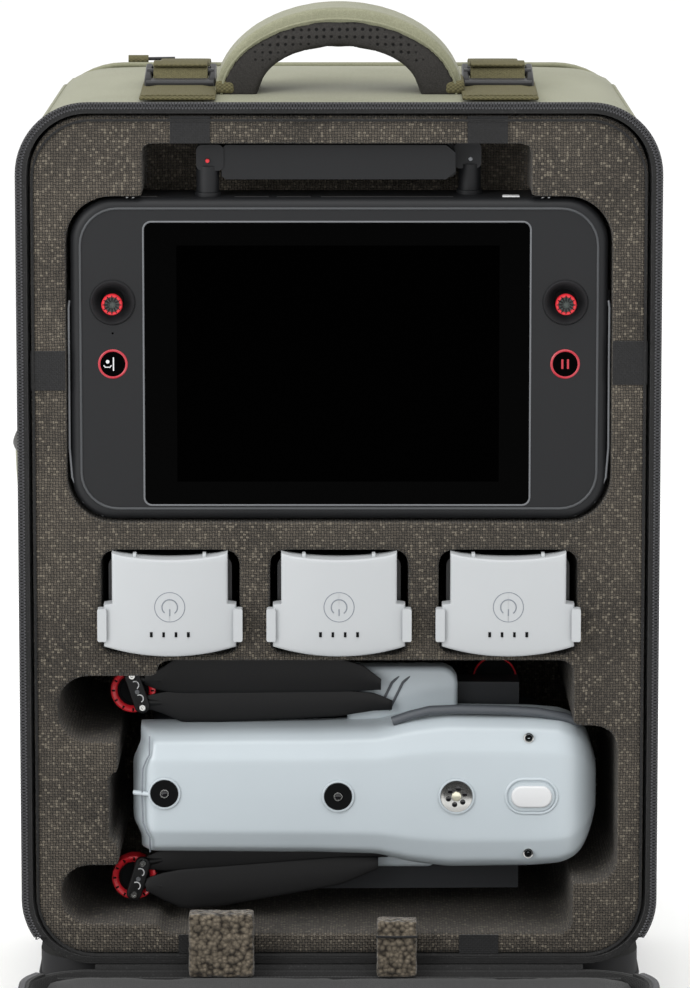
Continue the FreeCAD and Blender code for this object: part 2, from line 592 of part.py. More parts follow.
# Three batteries standing on end, each with a power button and two side latches.
cap_face = -7.0
cap_thick = 13.0
cap = D["cap_w"] / 2
tall = D["cap_tall"]
neck = cap - 4.2
for number_, step in ((1, -1), (2, 0), (3, 1)):
    middle = step * D["pack_step"]
    base_z = hinge + D["pack_up"]
    cap_y = front + cap_face + cap_thick
    body = new_body("battery_%d" % number_, middle, cap_y, base_z)
    hull = [(-cap, 3.2), (-cap * 0.6, 0.9), (0.0 * cap, 0.0), (cap * 0.6, 0.9), (cap, 3.2), (cap, tall * 0.52),
            (neck, tall * 0.54), (neck, tall), (neck - 3, tall), (neck * 0.6, tall - 1.6), (0.0 * cap, tall - 2.4),
            (-neck * 0.6, tall - 1.6), (3 - neck, tall), (-neck, tall), (-neck, tall * 0.54), (-cap, tall * 0.52)]
    shape(body, "XZ", 0, hull, cap_thick)
    half_pack = D["pack_w"] / 2
    inner = (-half_pack, half_pack, 1.6, D["pack_tall"] + 1.6)
    block(body, "XZ", -D["pack_deep"] + 0.4, inner, D["pack_deep"] - 0.4, 5.0)
    for side in (-1, 1):
        notch = (cap - 3.0, cap + 4) if side > 0 else (-cap - 4, 3.0 - cap)
        block(body, "XZ", cap_thick - 0.8, (notch[0], notch[1], 7.5, 24.5), 7.0, 0.0, "Pocket")
    disc(body, "XZ", cap_thick, 0, 25.6, 7.58, 2.2, "Pocket")
    for lamp in range(4):
        disc(body, "XZ", cap_thick, -9.3 + 6.2 * lamp, 11.5, 0.8, 0.6, "Pocket")
    body = new_body("battery_button_%d" % number_, middle, cap_y - cap_thick + 1.2, base_z + 25.6)
    disc(body, "XZ", 0, 0, 0, 7.5, 1.2)
    for label, side in (("left", -1), ("right", 1)):
        body = new_body("latch_%s_%d" % (label, number_), middle, cap_y - cap_thick + 0.9, base_z)
        span = (cap - 1.4, cap + 3.2) if side > 0 else (-cap - 3.2, 1.4 - cap)
        block(body, "XZ", -6.3, (span[0], span[1], 7.6, 24.4), 6.2, 1.0)

# Folded drone: light cover in front, darker hull, arms, motors and rotors.
body_x = left
drone_z = hinge + up
long = D["drone_long"]
wide = D["drone_half"]
cover_deep = 38.0
cover_y = front + 4.0 + cover_deep
HULL = [(0.0, -0.79), (0.40, -0.83), (0.58, -0.94), (0.68, -1.0), (0.90, -0.97), (0.965, -0.80), (1.0, -0.40),
        (1.0, 0.40), (0.965, 0.80), (0.90, 0.97), (0.68, 1.0), (0.58, 0.94), (0.40, 0.83), (0.0, 0.79)]
body = new_body("drone_cover", body_x, cover_y, drone_z)
pad = shape(body, "XZ", 0, [(u * long, v * wide) for u, v in HULL], cover_deep)
fillet = round_edges(body, pad, 9.0, 1, -number(0.0 * long + cover_deep))
for across, high, radius in ((16.5, 1.5, 7.0), (104.5, 0.0, 7.0), (164.5, 0.0, 8.0)):
    disc(body, "XZ", cover_deep, across, high, radius + 0.2, 4.0, "Pocket")
for high in (30.0, -30.0):
    disc(body, "XZ", cover_deep, 201.0, high, 2.5, 3.0, "Pocket")
oval = (191.0, 214.0, -7.3, 7.3)
block(body, "XZ", cover_deep, (oval[0] - 0.08, oval[1] + 0.08, oval[2] - 0.08, oval[3] + 0.08), 4.0, 7.0, "Pocket")
body = new_body("drone_button", body_x, cover_y - cover_deep + 2.2, drone_z)
block(body, "XZ", 0, oval, 3.0, 6.95)
body = new_body("drone_sensors", body_x, cover_y - cover_deep + 4.0, drone_z)
for across, high, radius in ((16.5, 1.5, 7.0), (104.5, 0.0, 7.0), (164.5, 0.0, 8.0)):
    disc(body, "XZ", 0, across, high, radius, 4.6)
body = new_body("drone_hull", body_x, cover_y + D["drone_deep"] - cover_deep, drone_z)
hull_deep = D["drone_deep"] - cover_deep
block(body, "XZ", 0, (8.0, long - 22, -0.72 * wide, 0.72 * wide), hull_deep, 12.0)
body = new_body("drone_nose", body_x, cover_y + 44.0, drone_z)
block(body, "XZ", 0, (long - 21.9, long - 2, -0.6 * wide, 0.6 * wide), 43.6, 6.0)
body = new_body("drone_arms", body_x, cover_y + 19.0, drone_z)
for side in (-1, 1):
    motor = arm - 3 * side
    bar = [(-2.0, side * (motor - 6)), (170.0, side * 0.725 * wide), (197.0, side * 0.725 * wide),
           (197.0, side * (motor + 5)), (-2.0, side * (motor + 6))]
    shape(body, "XZ", 0, [(0.0 * long + u, 0.0 * long + v) for u, v in bar], 18.5)
body = new_body("drone_motors", body_x, cover_y + 0.4, drone_z - 3)
for side in (-1, 1):
    disc(body, "XZ", 0.0, 0.0, side * arm, D["motor_round"], 12.0)
    disc(body, "XZ", -40.0, 185.0, side * arm, D["motor_round"], 21.4)

# Rotors: two folded blades and a hub plate on each near motor, a hub on each far one.
body = new_body("drone_rotors", body_x, cover_y - 11.7, drone_z - 3)
for side in (-1, 1):
    disc(body, "XZ", 0.0, 0.0, side * arm, 9.0, 2.0)
    spread = 17.0 if side > 0 else 13.0
    reach = [(6.0, arm + 1), (26.0, arm + 1.2), (110.0, arm + 1.2), (128.0, arm + 4), (128.0, arm + 9),
             (105.0, arm + spread - 0.8), (24.0, arm + spread), (6.0, arm + 8)]
    tuck = 0.0 if side > 0 else 2.8
    near = [(6.0, arm - 1), (6.0, arm - 8), (26.0, arm - 13 - tuck), (104.0, arm - 10.8 - tuck),
            (134.0, arm - 7 - tuck), (134.0, arm - 1), (26.0, arm - 0.6)]
    for points in (reach, near):
        limit = points if side > 0 else [(u, v * -1) for u, v in points]
        shape(body, "XZ", 0, limit, 2.0)

doc.recompute()
for body in NODES:
    for item in body.Group:
        if "Invalid" in item.State or "Error" in item.State:
            raise RuntimeError("%s failed: %s" % (item.Name, item.State))
    solid = body.Shape
    if solid.isNull() or not solid.isValid():
        raise RuntimeError("%s has no valid solid" % body.Label)
    solid.exportStep("parts/%s.step" % body.Label)
    print(body.Label, len(solid.Solids), round(solid.Volume))
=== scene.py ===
import math

import bmesh
import bpy
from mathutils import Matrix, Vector


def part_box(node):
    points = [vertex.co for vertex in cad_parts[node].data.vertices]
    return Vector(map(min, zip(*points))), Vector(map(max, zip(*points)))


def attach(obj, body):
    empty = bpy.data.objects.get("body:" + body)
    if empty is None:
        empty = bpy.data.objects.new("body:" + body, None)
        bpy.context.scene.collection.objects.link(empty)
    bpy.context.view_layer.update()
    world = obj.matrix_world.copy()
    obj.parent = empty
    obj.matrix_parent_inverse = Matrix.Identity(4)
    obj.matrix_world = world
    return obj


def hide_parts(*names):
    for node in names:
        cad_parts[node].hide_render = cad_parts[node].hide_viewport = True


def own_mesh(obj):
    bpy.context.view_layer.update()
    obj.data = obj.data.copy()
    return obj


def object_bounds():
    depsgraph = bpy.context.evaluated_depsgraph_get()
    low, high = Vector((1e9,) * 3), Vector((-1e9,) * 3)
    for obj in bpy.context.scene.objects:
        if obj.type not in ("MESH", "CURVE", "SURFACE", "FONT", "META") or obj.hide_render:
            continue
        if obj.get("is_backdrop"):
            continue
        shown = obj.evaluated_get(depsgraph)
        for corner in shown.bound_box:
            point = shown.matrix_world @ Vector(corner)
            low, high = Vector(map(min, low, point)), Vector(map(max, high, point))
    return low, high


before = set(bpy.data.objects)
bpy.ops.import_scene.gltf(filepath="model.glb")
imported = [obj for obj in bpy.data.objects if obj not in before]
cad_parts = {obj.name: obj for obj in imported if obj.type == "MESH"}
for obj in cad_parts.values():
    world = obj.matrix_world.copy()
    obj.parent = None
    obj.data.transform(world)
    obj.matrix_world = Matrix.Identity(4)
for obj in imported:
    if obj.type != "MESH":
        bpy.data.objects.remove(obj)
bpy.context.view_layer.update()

# Camera, light and floor. A long lens stands three metres in front of the case and looks
# slightly down; a pale room, one broad lamp overhead and one soft lamp at the left light it.
bpy.context.scene.view_settings.view_transform = "Standard"
shell_low, shell_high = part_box("case_shell")
front = shell_low[1]
rear = shell_high[1]
hinge_up = shell_low[2]
shell_top = shell_high[2]
bpy.ops.object.select_all(action="DESELECT")
bpy.ops.object.camera_add(location=(0.003, front - 3.0, 0.8198), rotation=(math.radians(90 - 10.3), 0, 0))
camera = bpy.context.object
camera.data.lens = 221.6
camera.data.clip_end = 60
bpy.context.scene.camera = camera
room = bpy.data.worlds.new("pale_room")
bpy.context.scene.world = room
room.use_nodes = True
room.node_tree.nodes["Background"].inputs["Color"].default_value = (1, 1, 1, 1)
room.node_tree.nodes["Background"].inputs["Strength"].default_value = 1.04
for place, aim, size, power in (((0.1, -0.9, 2.2), (0, 0, 0.2), 1.6, 22),
                                ((-1.9, -2.0, 1.3), (0, 0, 0.25), 1.2, 34)):
    bpy.ops.object.light_add(type="AREA", location=place)
    lamp = bpy.context.object
    lamp.data.size = size
    lamp.data.energy = power
    lamp.rotation_euler = (Vector(aim) - Vector(place)).to_track_quat("-Z", "Y").to_euler()


def linear(code):
    """An sRGB hex value as the linear colour that a shader takes."""
    parts = [int(code[i:i + 2], 16) / 255 for i in (1, 3, 5)]
    return tuple(c / 12.92 if c <= 0.04045 else ((c + 0.055) / 1.055) ** 2.4 for c in parts) + (1.0,)


def add(tree, kind, settings, links=()):
    """Adds a node: capitals or numbers in settings are its inputs, the rest its own options."""
    node = tree.nodes.new("ShaderNode" + kind)
    for key, value in settings.items():
        if isinstance(key, int) or key[0].isupper():
            node.inputs[key].default_value = value
        else:
            setattr(node, key, value)
    for key, source in links:
        tree.links.new(source, node.inputs[key])
    return node


def blank(name):
    """A new material with an empty node tree."""
    material = bpy.data.materials.new(name)
    material.use_nodes = True
    material.node_tree.nodes.clear()
    return material, material.node_tree


def dress(node, material):
    """Gives a CAD node its finish."""
    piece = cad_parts[node]
    piece.data.materials.clear()
    piece.data.materials.append(material)


# Matt paper sweep under the case.
paper, tree = blank("paper_sweep")
grain = add(tree, "TexNoise", {"Scale": 900.0, "Detail": 2.0})
tint = add(tree, "ValToRGB", {}, [("Fac", grain.outputs["Fac"])])
tint.color_ramp.elements[0].color = linear("#fbfbfb")
tint.color_ramp.elements[1].color = linear("#ffffff")
skin = add(tree, "BsdfPrincipled", {"Roughness": 0.9, "Specular IOR Level": 0.1},
           [("Base Color", tint.outputs["Color"])])
add(tree, "OutputMaterial", {}, [("Surface", skin.outputs["BSDF"])])
bpy.ops.mesh.primitive_plane_add(size=60, location=(0, 0, -0.0006))
bpy.context.object.name = "paper_floor"
bpy.context.object.data.materials.append(paper)
bpy.context.object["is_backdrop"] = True


# Woven cloths. Polyester yarn in plain weave: warp and weft cross over and under each other, so
# each little crossing shows as a bright pad with a dark gap round it, and slubs give pale flecks.
def woven(name, dark, light, fleck, pitch, weight, flecks, rough, sheen, depth):
    """A plain weave whose threads lie pitch metres apart, laid flat on whichever way a face looks."""
    cloth, tree = blank(name)
    where = add(tree, "TexCoord", {})
    wander = add(tree, "TexNoise", {"Scale": 60.0, "Detail": 2.0}, [("Vector", where.outputs["Object"])])
    stray = add(tree, "VectorMath", {"operation": "MULTIPLY_ADD", 1: (pitch * 0.9,) * 3},
                [(0, wander.outputs["Color"]), (2, where.outputs["Object"])])
    place = add(tree, "SeparateXYZ", {}, [(0, stray.outputs[0])])
    facing = add(tree, "SeparateXYZ", {}, [(0, where.outputs["Normal"])])
    sideways = add(tree, "Math", {"operation": "ABSOLUTE"}, [(0, facing.outputs["X"])])
    sideways = add(tree, "Math", {"operation": "GREATER_THAN", 1: 0.72}, [(0, sideways.outputs[0])])
    upward = add(tree, "Math", {"operation": "ABSOLUTE"}, [(0, facing.outputs["Z"])])
    upward = add(tree, "Math", {"operation": "GREATER_THAN", 1: 0.72}, [(0, upward.outputs[0])])
    across = add(tree, "Mix", {}, [(0, sideways.outputs[0]), (2, place.outputs["X"]),
                                   (3, place.outputs["Y"])])
    along = add(tree, "Mix", {}, [(0, upward.outputs[0]), (2, place.outputs["Z"]), (3, place.outputs["Y"])])
    ridge, cell = [], []
    for source in (across, along):
        count = add(tree, "Math", {"operation": "DIVIDE", 1: pitch}, [(0, source.outputs[0])])
        cell.append(add(tree, "Math", {"operation": "FLOOR"}, [(0, count.outputs[0])]))
        wave = add(tree, "Math", {"operation": "MULTIPLY", 1: math.pi}, [(0, count.outputs[0])])
        wave = add(tree, "Math", {"operation": "SINE"}, [(0, wave.outputs[0])])
        ridge.append(add(tree, "Math", {"operation": "ABSOLUTE"}, [(0, wave.outputs[0])]))
    total = add(tree, "Math", {"operation": "ADD"}, [(0, cell[0].outputs[0]), (1, cell[1].outputs[0])])
    over = add(tree, "Math", {"operation": "PINGPONG", 1: 1.0}, [(0, total.outputs[0])])
    height = add(tree, "Mix", {}, [(0, over.outputs[0]), (2, ridge[0].outputs[0]), (3, ridge[1].outputs[0])])
    spot = add(tree, "CombineXYZ", {}, [("X", cell[0].outputs[0]), ("Y", cell[1].outputs[0])])
    chance = add(tree, "TexWhiteNoise", {"noise_dimensions": "2D"}, [("Vector", spot.outputs[0])])
    patch = add(tree, "TexNoise", {"Scale": 22.0, "Detail": 3.0}, [("Vector", where.outputs["Object"])])
    tone = add(tree, "Math", {"operation": "MULTIPLY_ADD", 1: 0.45},
               [(0, chance.outputs["Value"]), (2, patch.outputs["Fac"])])
    tone = add(tree, "Math", {"operation": "MULTIPLY", "use_clamp": True},
               [(0, tone.outputs[0]), (1, height.outputs[0])])
    body_colour = add(tree, "Mix", {"data_type": "RGBA", "A": linear(dark), "B": linear(light)},
                      [(0, tone.outputs[0])])
    slub = add(tree, "Math", {"operation": "GREATER_THAN", 1: 1.0 - flecks}, [(0, chance.outputs["Value"])])
    slub = add(tree, "Math", {"operation": "MULTIPLY"}, [(0, slub.outputs[0]), (1, height.outputs[0])])
    colour = add(tree, "Mix", {"data_type": "RGBA", 7: linear(fleck)},
                 [(0, slub.outputs[0]), (6, body_colour.outputs[2])])
    bump = add(tree, "Bump", {"Strength": weight, "Distance": depth}, [("Height", height.outputs[0])])
    face = add(tree, "BsdfPrincipled", {"Roughness": rough, "Specular IOR Level": 0.25, "Sheen Weight": sheen,
                                        "Sheen Roughness": 0.5},
               [("Base Color", colour.outputs[2]), ("Normal", bump.outputs[0])])
    add(tree, "OutputMaterial", {}, [("Surface", face.outputs["BSDF"])])
    return cloth


# Coated polyester of the outside: tight, slightly chalky olive.
olive_cloth = woven("olive_coated_polyester", "#6f705a", "#8f8f79", "#8f8f79", 0.0006, 0.2, 0.0, 0.7, 0.12,
                    0.00015)
# Charcoal upholstery weave with beige slubs that covers the foam.
foam_cloth = woven("charcoal_slub_weave", "#0b0a09", "#5e574d", "#6d665a", 0.0014, 0.9, 0.12, 0.9, 0.1,
                   0.0008)
# Close black lining and tape.
lining_cloth = woven("black_lining", "#0d0d0d", "#242424", "#2d2d2d", 0.0009, 0.4, 0.02, 0.8, 0.15, 0.0003)


# Moulded plastics. Injection-moulded ABS and polycarbonate: an even colour with a very fine
# spark-eroded grain, so highlights are soft and the surface is never quite flat.
def moulded(name, colour, rough, grain_size, grain_depth, coat=0.0, shine=0.5):
    """An even finish whose grain is grain_size across and grain_depth deep, in metres."""
    plastic, tree = blank(name)
    where = add(tree, "TexCoord", {})
    grain = add(tree, "TexNoise", {"Scale": 1.0 / grain_size, "Detail": 3.0},
                [("Vector", where.outputs["Object"])])
    cloudy = add(tree, "TexNoise", {"Scale": 30.0, "Detail": 2.0}, [("Vector", where.outputs["Object"])])
    dull = add(tree, "MapRange", {"To Min": rough - 0.04, "To Max": rough + 0.05},
               [(0, cloudy.outputs["Fac"])])
    shade = linear(colour)
    tint = add(tree, "Mix", {"data_type": "RGBA", 6: tuple(c * 0.95 for c in shade[:3]) + (1,), 7: shade},
               [(0, cloudy.outputs["Fac"])])
    bump = add(tree, "Bump", {"Strength": 0.35, "Distance": grain_depth}, [("Height", grain.outputs["Fac"])])
    face = add(tree, "BsdfPrincipled", {"IOR": 1.5, "Specular IOR Level": shine, "Coat Weight": coat,
                                        "Coat Roughness": 0.15},
               [("Base Color", tint.outputs[2]), ("Roughness", dull.outputs[0]), ("Normal", bump.outputs[0])])
    add(tree, "OutputMaterial", {}, [("Surface", face.outputs["BSDF"])])
    return plastic


controller_abs = moulded("charcoal_abs", "#141517", 0.5, 0.0005, 0.00005, 0.0, 0.28)
black_acetal = moulded("black_acetal", "#161617", 0.42, 0.0006, 0.00005, 0.0, 0.4)
soft_rubber = moulded("black_rubber", "#18181a", 0.75, 0.0008, 0.0001, 0.0, 0.3)
pack_abs = moulded("pale_grey_abs", "#afb2b4", 0.45, 0.0006, 0.00004, 0.0, 0.4)
drone_abs = moulded("pale_blue_grey_abs", "#b3bcc1", 0.38, 0.0006, 0.00003, 0.1)
dark_abs = moulded("slate_abs", "#4a4e53", 0.5, 0.0006, 0.00004)
blade_nylon = moulded("black_glass_nylon", "#0a0a0b", 0.48, 0.0007, 0.00006, 0.0, 0.3)
gloss_glass = moulded("black_cover_glass", "#010101", 0.08, 0.002, 0.000001, 0.0, 0.015)
screen_glass = moulded("dark_display", "#000000", 0.08, 0.002, 0.000001, 0.0, 0.004)
red_metal = moulded("red_anodised", "#c2202a", 0.3, 0.0008, 0.00003)
white_button = moulded("white_silicone", "#cfd0d1", 0.5, 0.0006, 0.00004)

for node in ("case_shell", "corner_piping", "side_pocket", "handle_pad", "shoulder_straps", "lid_shell"):
    dress(node, olive_cloth)
for node in ("foam_insert", "foam_base", "lid_pad_left", "lid_pad_right"):
    dress(node, foam_cloth)
for node in ("inner_lining", "body_zip", "lid_zip", "hinge_strip", "elastic_tabs", "handle_mesh",
             "back_pads", "lid_lining", "lid_panel", "strap_webbing", "anchor_webbing"):
    dress(node, lining_cloth)
for node in ("anchor_buckles", "strap_adjusters", "zip_slider_left", "zip_slider_right"):
    dress(node, black_acetal)
for node in ("controller_shell", "antenna_front", "antenna_rear", "antenna_sockets", "button_left",
             "button_right"):
    dress(node, controller_abs)
for node in ("base_boot", "controller_grips", "gimbal_left", "gimbal_right"):
    dress(node, soft_rubber)
for number in (1, 2, 3):
    for node in ("battery_%d", "battery_button_%d", "latch_left_%d", "latch_right_%d"):
        dress(node % number, pack_abs)
dress("controller_glass", gloss_glass)
dress("controller_display", screen_glass)
dress("drone_cover", drone_abs)
dress("drone_arms", drone_abs)
dress("drone_hull", dark_abs)
dress("drone_nose", dark_abs)
dress("drone_rotors", blade_nylon)
dress("drone_motors", red_metal)
dress("stick_left", red_metal)
dress("stick_right", red_metal)
dress("drone_sensors", gloss_glass)
dress("drone_button", white_button)


# Shell. A soft olive cloth tray with a thin foam core, sewn from one long strip bent round the
# sides and a back panel. It narrows towards the wearer and its top swells a little when packed.
def boxed(name, low, high, material, body):
    """A block between two corners, riding on a body."""
    bpy.ops.object.select_all(action="DESELECT")
    bpy.ops.mesh.primitive_cube_add(size=1, location=[(a + b) / 2 for a, b in zip(low, high)])
    piece = bpy.context.object
    piece.name = name
    piece.scale = [b - a for a, b in zip(low, high)]
    bpy.ops.object.transform_apply(location=True, rotation=True, scale=True)
    piece.data.materials.append(material)
    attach(piece, body)
    return piece


def pick(piece, test, kind="EDGE"):
    """Goes into edit mode and selects the corners, edges or faces whose points pass a test."""
    bpy.context.view_layer.objects.active = piece
    if bpy.context.mode != "EDIT_MESH":
        bpy.ops.object.select_all(action="DESELECT")
        piece.select_set(True)
        bpy.ops.object.mode_set(mode="EDIT")
    bpy.ops.mesh.select_mode(type=kind)
    bpy.ops.mesh.select_all(action="DESELECT")
    net = bmesh.from_edit_mesh(piece.data)
    for part in {"VERT": net.verts, "EDGE": net.edges, "FACE": net.faces}[kind]:
        if test([part.co] if kind == "VERT" else [corner.co for corner in part.verts]):
            part.select_set(True)
    bmesh.update_edit_mesh(piece.data)


def slice_up(places, way):
    """Cuts the mesh being edited across one way at several places."""
    for place in places:
        bpy.ops.mesh.select_all(action="SELECT")
        bpy.ops.mesh.bisect(plane_co=[place * w for w in way], plane_no=way)


def settle(piece, angle=35):
    """Leaves edit mode, applies the modifiers and shades the piece smooth."""
    if bpy.context.mode == "EDIT_MESH":
        bpy.ops.mesh.select_all(action="SELECT")
        bpy.ops.mesh.normals_make_consistent(inside=False)
        bpy.ops.object.mode_set(mode="OBJECT")
    bpy.ops.object.select_all(action="DESELECT")
    piece.select_set(True)
    bpy.context.view_layer.objects.active = piece
    for modifier in list(piece.modifiers):
        bpy.ops.object.modifier_apply(modifier=modifier.name)
    bpy.ops.object.shade_smooth_by_angle(angle=math.radians(angle))


def stepped(low, high, step):
    """Evenly spaced places between two ends, without the ends."""
    count = max(1, round((high - low) / step))
    return [low + (high - low) * i / count for i in range(1, count)]


narrowing = 0.038  # share of its width that the shell loses at the back
shoulder = 0.034  # radius of its four long corners


def narrowed(piece):
    """Draws a piece in towards the wearer's back by as much as the shell narrows there."""
    for vertex in piece.data.vertices:
        vertex.co.x *= 1 - narrowing * min(1, max(0, (vertex.co.y - front) / (rear - front)))


def taken(name, node, material, body):
    """A copy of a CAD node's mesh, merged, to be worked on as its own piece."""
    bpy.ops.object.select_all(action="DESELECT")
    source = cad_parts[node]
    piece = bpy.data.objects.new(name, source.data.copy())
    bpy.context.scene.collection.objects.link(piece)
    piece.data.transform(source.matrix_world)
    piece.data.materials.clear()
    piece.data.materials.append(material)
    piece.select_set(True)
    bpy.context.view_layer.objects.active = piece
    bpy.ops.object.mode_set(mode="EDIT")
    bpy.ops.mesh.select_all(action="SELECT")
    bpy.ops.mesh.remove_doubles(threshold=0.00001)
    bpy.ops.mesh.normals_make_consistent(inside=False)
    bpy.ops.object.mode_set(mode="OBJECT")
    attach(piece, body)
    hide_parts(node)
    return piece


shell = boxed("soft_shell", shell_low, shell_high, olive_cloth, "case")
shell.data.materials.append(lining_cloth)
pick(shell, lambda spots: abs(spots[0].y - spots[1].y) > 0.1)
bpy.ops.mesh.bevel(offset=shoulder, segments=14, affect="EDGES")
pick(shell, lambda spots: all(p.y < front + 0.001 for p in spots), "FACE")
bpy.ops.mesh.delete(type="ONLY_FACE")
pick(shell, lambda spots: spots[0].y > rear - 0.001, "VERT")
bpy.ops.transform.resize(value=(1 - narrowing, 1, 1), center_override=(0, rear, 0))
pick(shell, lambda spots: all(p.y > rear - 0.001 for p in spots))
bpy.ops.mesh.bevel(offset=0.014, segments=5, affect="EDGES")
slice_up(stepped(shell_low[0], shell_high[0], 0.012), (1, 0, 0))
slice_up(stepped(front, rear - 0.014, 0.012), (0, 1, 0))
slice_up(stepped(hinge_up, shell_top, 0.02), (0, 0, 1))
pick(shell, lambda spots: spots[0].z > shell_top - 0.003 and -0.06 < spots[0].y < 0.07 and
     abs(spots[0].x) < 0.105, "VERT")
bpy.ops.transform.translate(value=(0, 0, 0.0026))
pick(shell, lambda spots: spots[0].z > shell_top - 0.02 and front + 0.006 < spots[0].y < rear - 0.004 and
     abs(spots[0].x) < 0.14, "VERT")
bpy.ops.mesh.vertices_smooth(factor=0.5, repeat=14)
pick(shell, lambda spots: abs(spots[0].x) > 0.145 and abs(spots[0].y) < 0.06 and
     hinge_up + 0.06 < spots[0].z < shell_top - 0.06, "VERT")
bpy.ops.transform.shrink_fatten(value=0.0012)
pick(shell, lambda spots: abs(spots[0].x) > 0.14 and front + 0.006 < spots[0].y < rear - 0.01, "VERT")
bpy.ops.mesh.vertices_smooth(factor=0.5, repeat=10)
wall = shell.modifiers.new("wall", "SOLIDIFY")
wall.thickness = 0.0032
wall.offset = -1
wall.material_offset = 1
wall.material_offset_rim = 1
settle(shell, 50)
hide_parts("case_shell")

# Lining. One skin of black polyester cloth glued inside the shell; it is drawn in slightly so
# that it lies inside the shell where that narrows.
lining = taken("shell_lining", "inner_lining", lining_cloth, "case")
narrowed(lining)
for corner in lining.data.vertices:
    corner.co.x *= 0.986
    corner.co.z = hinge_up + (corner.co.z - hinge_up) * 0.993
settle(lining, 40)


# Seams of the shell. Cords of piping in folded shell cloth run back along the two upper corners,
# where the side strips meet the top strip, and round the back panel.
def tube(name, points, radius, material, body):
    """A round cord along points, with its ends closed."""
    line = bpy.data.curves.new(name, "CURVE")
    line.dimensions = "3D"
    run = line.splines.new("POLY")
    run.points.add(len(points) - 1)
    for point, place in zip(run.points, points):
        point.co = (*place, 1)
    line.bevel_depth = radius
    line.bevel_resolution = 3
    line.use_fill_caps = True
    piece = bpy.data.objects.new(name, line)
    bpy.context.scene.collection.objects.link(piece)
    bpy.ops.object.select_all(action="DESELECT")
    piece.select_set(True)
    bpy.context.view_layer.objects.active = piece
    bpy.ops.object.convert(target="MESH")
    piece = bpy.context.object
    piece.name = name
    piece.data.materials.append(material)
    bpy.ops.object.shade_smooth()
    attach(piece, body)
    return piece


def arc_run(x, y, z, radius, degrees):
    """Points of an arc in a plane that faces out of the case."""
    return [(x + radius * math.cos(math.radians(lean)), y, z + radius * math.sin(math.radians(lean)))
            for lean in degrees]


seam_lean = math.radians(44)
for side, place in ((-1, "left"), (1, "right")):
    run = []
    for step in range(25):
        deep = step / 24
        half = (shell_high[0] - shoulder + shoulder * math.sin(seam_lean)) * (1 - narrowing * deep)
        dip = 0.04 * max(0, deep - 0.9)
        run.append((side * half, front + 0.002 + deep * (rear - front - 0.010),
                    shell_top - shoulder + 0.0336 * math.cos(seam_lean) - dip))
    tube("shoulder_piping_" + place, run, 0.0011, olive_cloth, "case")

# The piping round the back panel goes over its two upper corners and stops above the lower ones.
piping_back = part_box("corner_piping")[1][1] - 0.0015
back_round = 0.041
half = (shell_high[0] + 0.0006) * (1 - narrowing * 0.9)
run = [(half, piping_back, hinge_up + back_round)]
for side, start in ((1, 0), (-1, 90)):
    run += arc_run(side * (half - back_round), piping_back, shell_top - 0.0408, back_round,
                   [start + 7.5 * step for step in range(13)])
run.append((-half, piping_back, hinge_up + back_round))
back_piping = tube("back_panel_piping", run, 0.0014, olive_cloth, "case")
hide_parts("corner_piping")


# Zip coils. Nylon coil zip: a black wire wound into small loops that stand along the tape edge,
# one loop about every 1.6 mm. One side is on the case and the other on the lid.
def coil(name, half, base, foot, head, radius, depth, flat, body):
    """Loops along a rounded outline that is open at its foot; flat lays the outline down."""
    bpy.ops.object.select_all(action="DESELECT")
    bpy.ops.mesh.primitive_plane_add(size=1)
    path = bpy.context.object
    path.name = name + "_path"
    path.scale = (half * 2, head - base, 1)
    bpy.ops.object.transform_apply(location=True, rotation=True, scale=True)
    bpy.ops.object.mode_set(mode="EDIT")
    bpy.ops.mesh.select_all(action="SELECT")
    bpy.ops.mesh.bevel(offset=radius, segments=14, affect="VERTICES")
    bpy.ops.transform.translate(value=(0, (base + head) / 2, 0))
    bpy.ops.mesh.select_all(action="SELECT")
    bpy.ops.mesh.delete(type="ONLY_FACE")
    bpy.ops.mesh.select_all(action="SELECT")
    bpy.ops.mesh.bisect(plane_co=(0, foot, 0), plane_no=(0, 1, 0), clear_inner=True)
    bpy.ops.object.mode_set(mode="OBJECT")
    bpy.ops.object.convert(target="CURVE")
    path = bpy.context.object
    if path.data.splines[0].points[0].co.x > 0:
        bpy.ops.object.mode_set(mode="EDIT")
        bpy.ops.curve.select_all(action="SELECT")
        bpy.ops.curve.switch_direction()
        bpy.ops.object.mode_set(mode="OBJECT")
    bpy.ops.object.select_all(action="DESELECT")
    bpy.ops.mesh.primitive_torus_add(major_segments=8, minor_segments=4, major_radius=0.0011,
                                     minor_radius=0.0004)
    loops = bpy.context.object
    loops.name = name
    bpy.ops.object.mode_set(mode="EDIT")
    bpy.ops.mesh.select_all(action="SELECT")
    bpy.ops.transform.resize(value=(0.55, 1.25, 1))
    bpy.ops.object.mode_set(mode="OBJECT")
    row = loops.modifiers.new("row", "ARRAY")
    row.fit_type = "FIT_CURVE"
    row.curve = path
    row.use_relative_offset = False
    row.use_constant_offset = True
    row.constant_offset_displace = (0.0016, 0, 0)
    bend = loops.modifiers.new("bend", "CURVE")
    bend.object = path
    settle(loops)
    bpy.ops.object.mode_set(mode="EDIT")
    bpy.ops.mesh.select_all(action="SELECT")
    if flat:
        bpy.ops.transform.resize(value=(1, -1, 1), center_override=(0, 0, 0))
        bpy.ops.transform.translate(value=(0, 0, depth))
    else:
        bpy.ops.transform.rotate(value=math.radians(-90), orient_axis="X", center_override=(0, 0, 0))
        bpy.ops.transform.translate(value=(0, depth, 0))
    bpy.ops.mesh.select_all(action="SELECT")
    bpy.ops.mesh.normals_make_consistent(inside=False)
    bpy.ops.object.mode_set(mode="OBJECT")
    bpy.data.objects.remove(path)
    loops.data.materials.append(coil_painted_glint)
    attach(loops, body)
    return loops
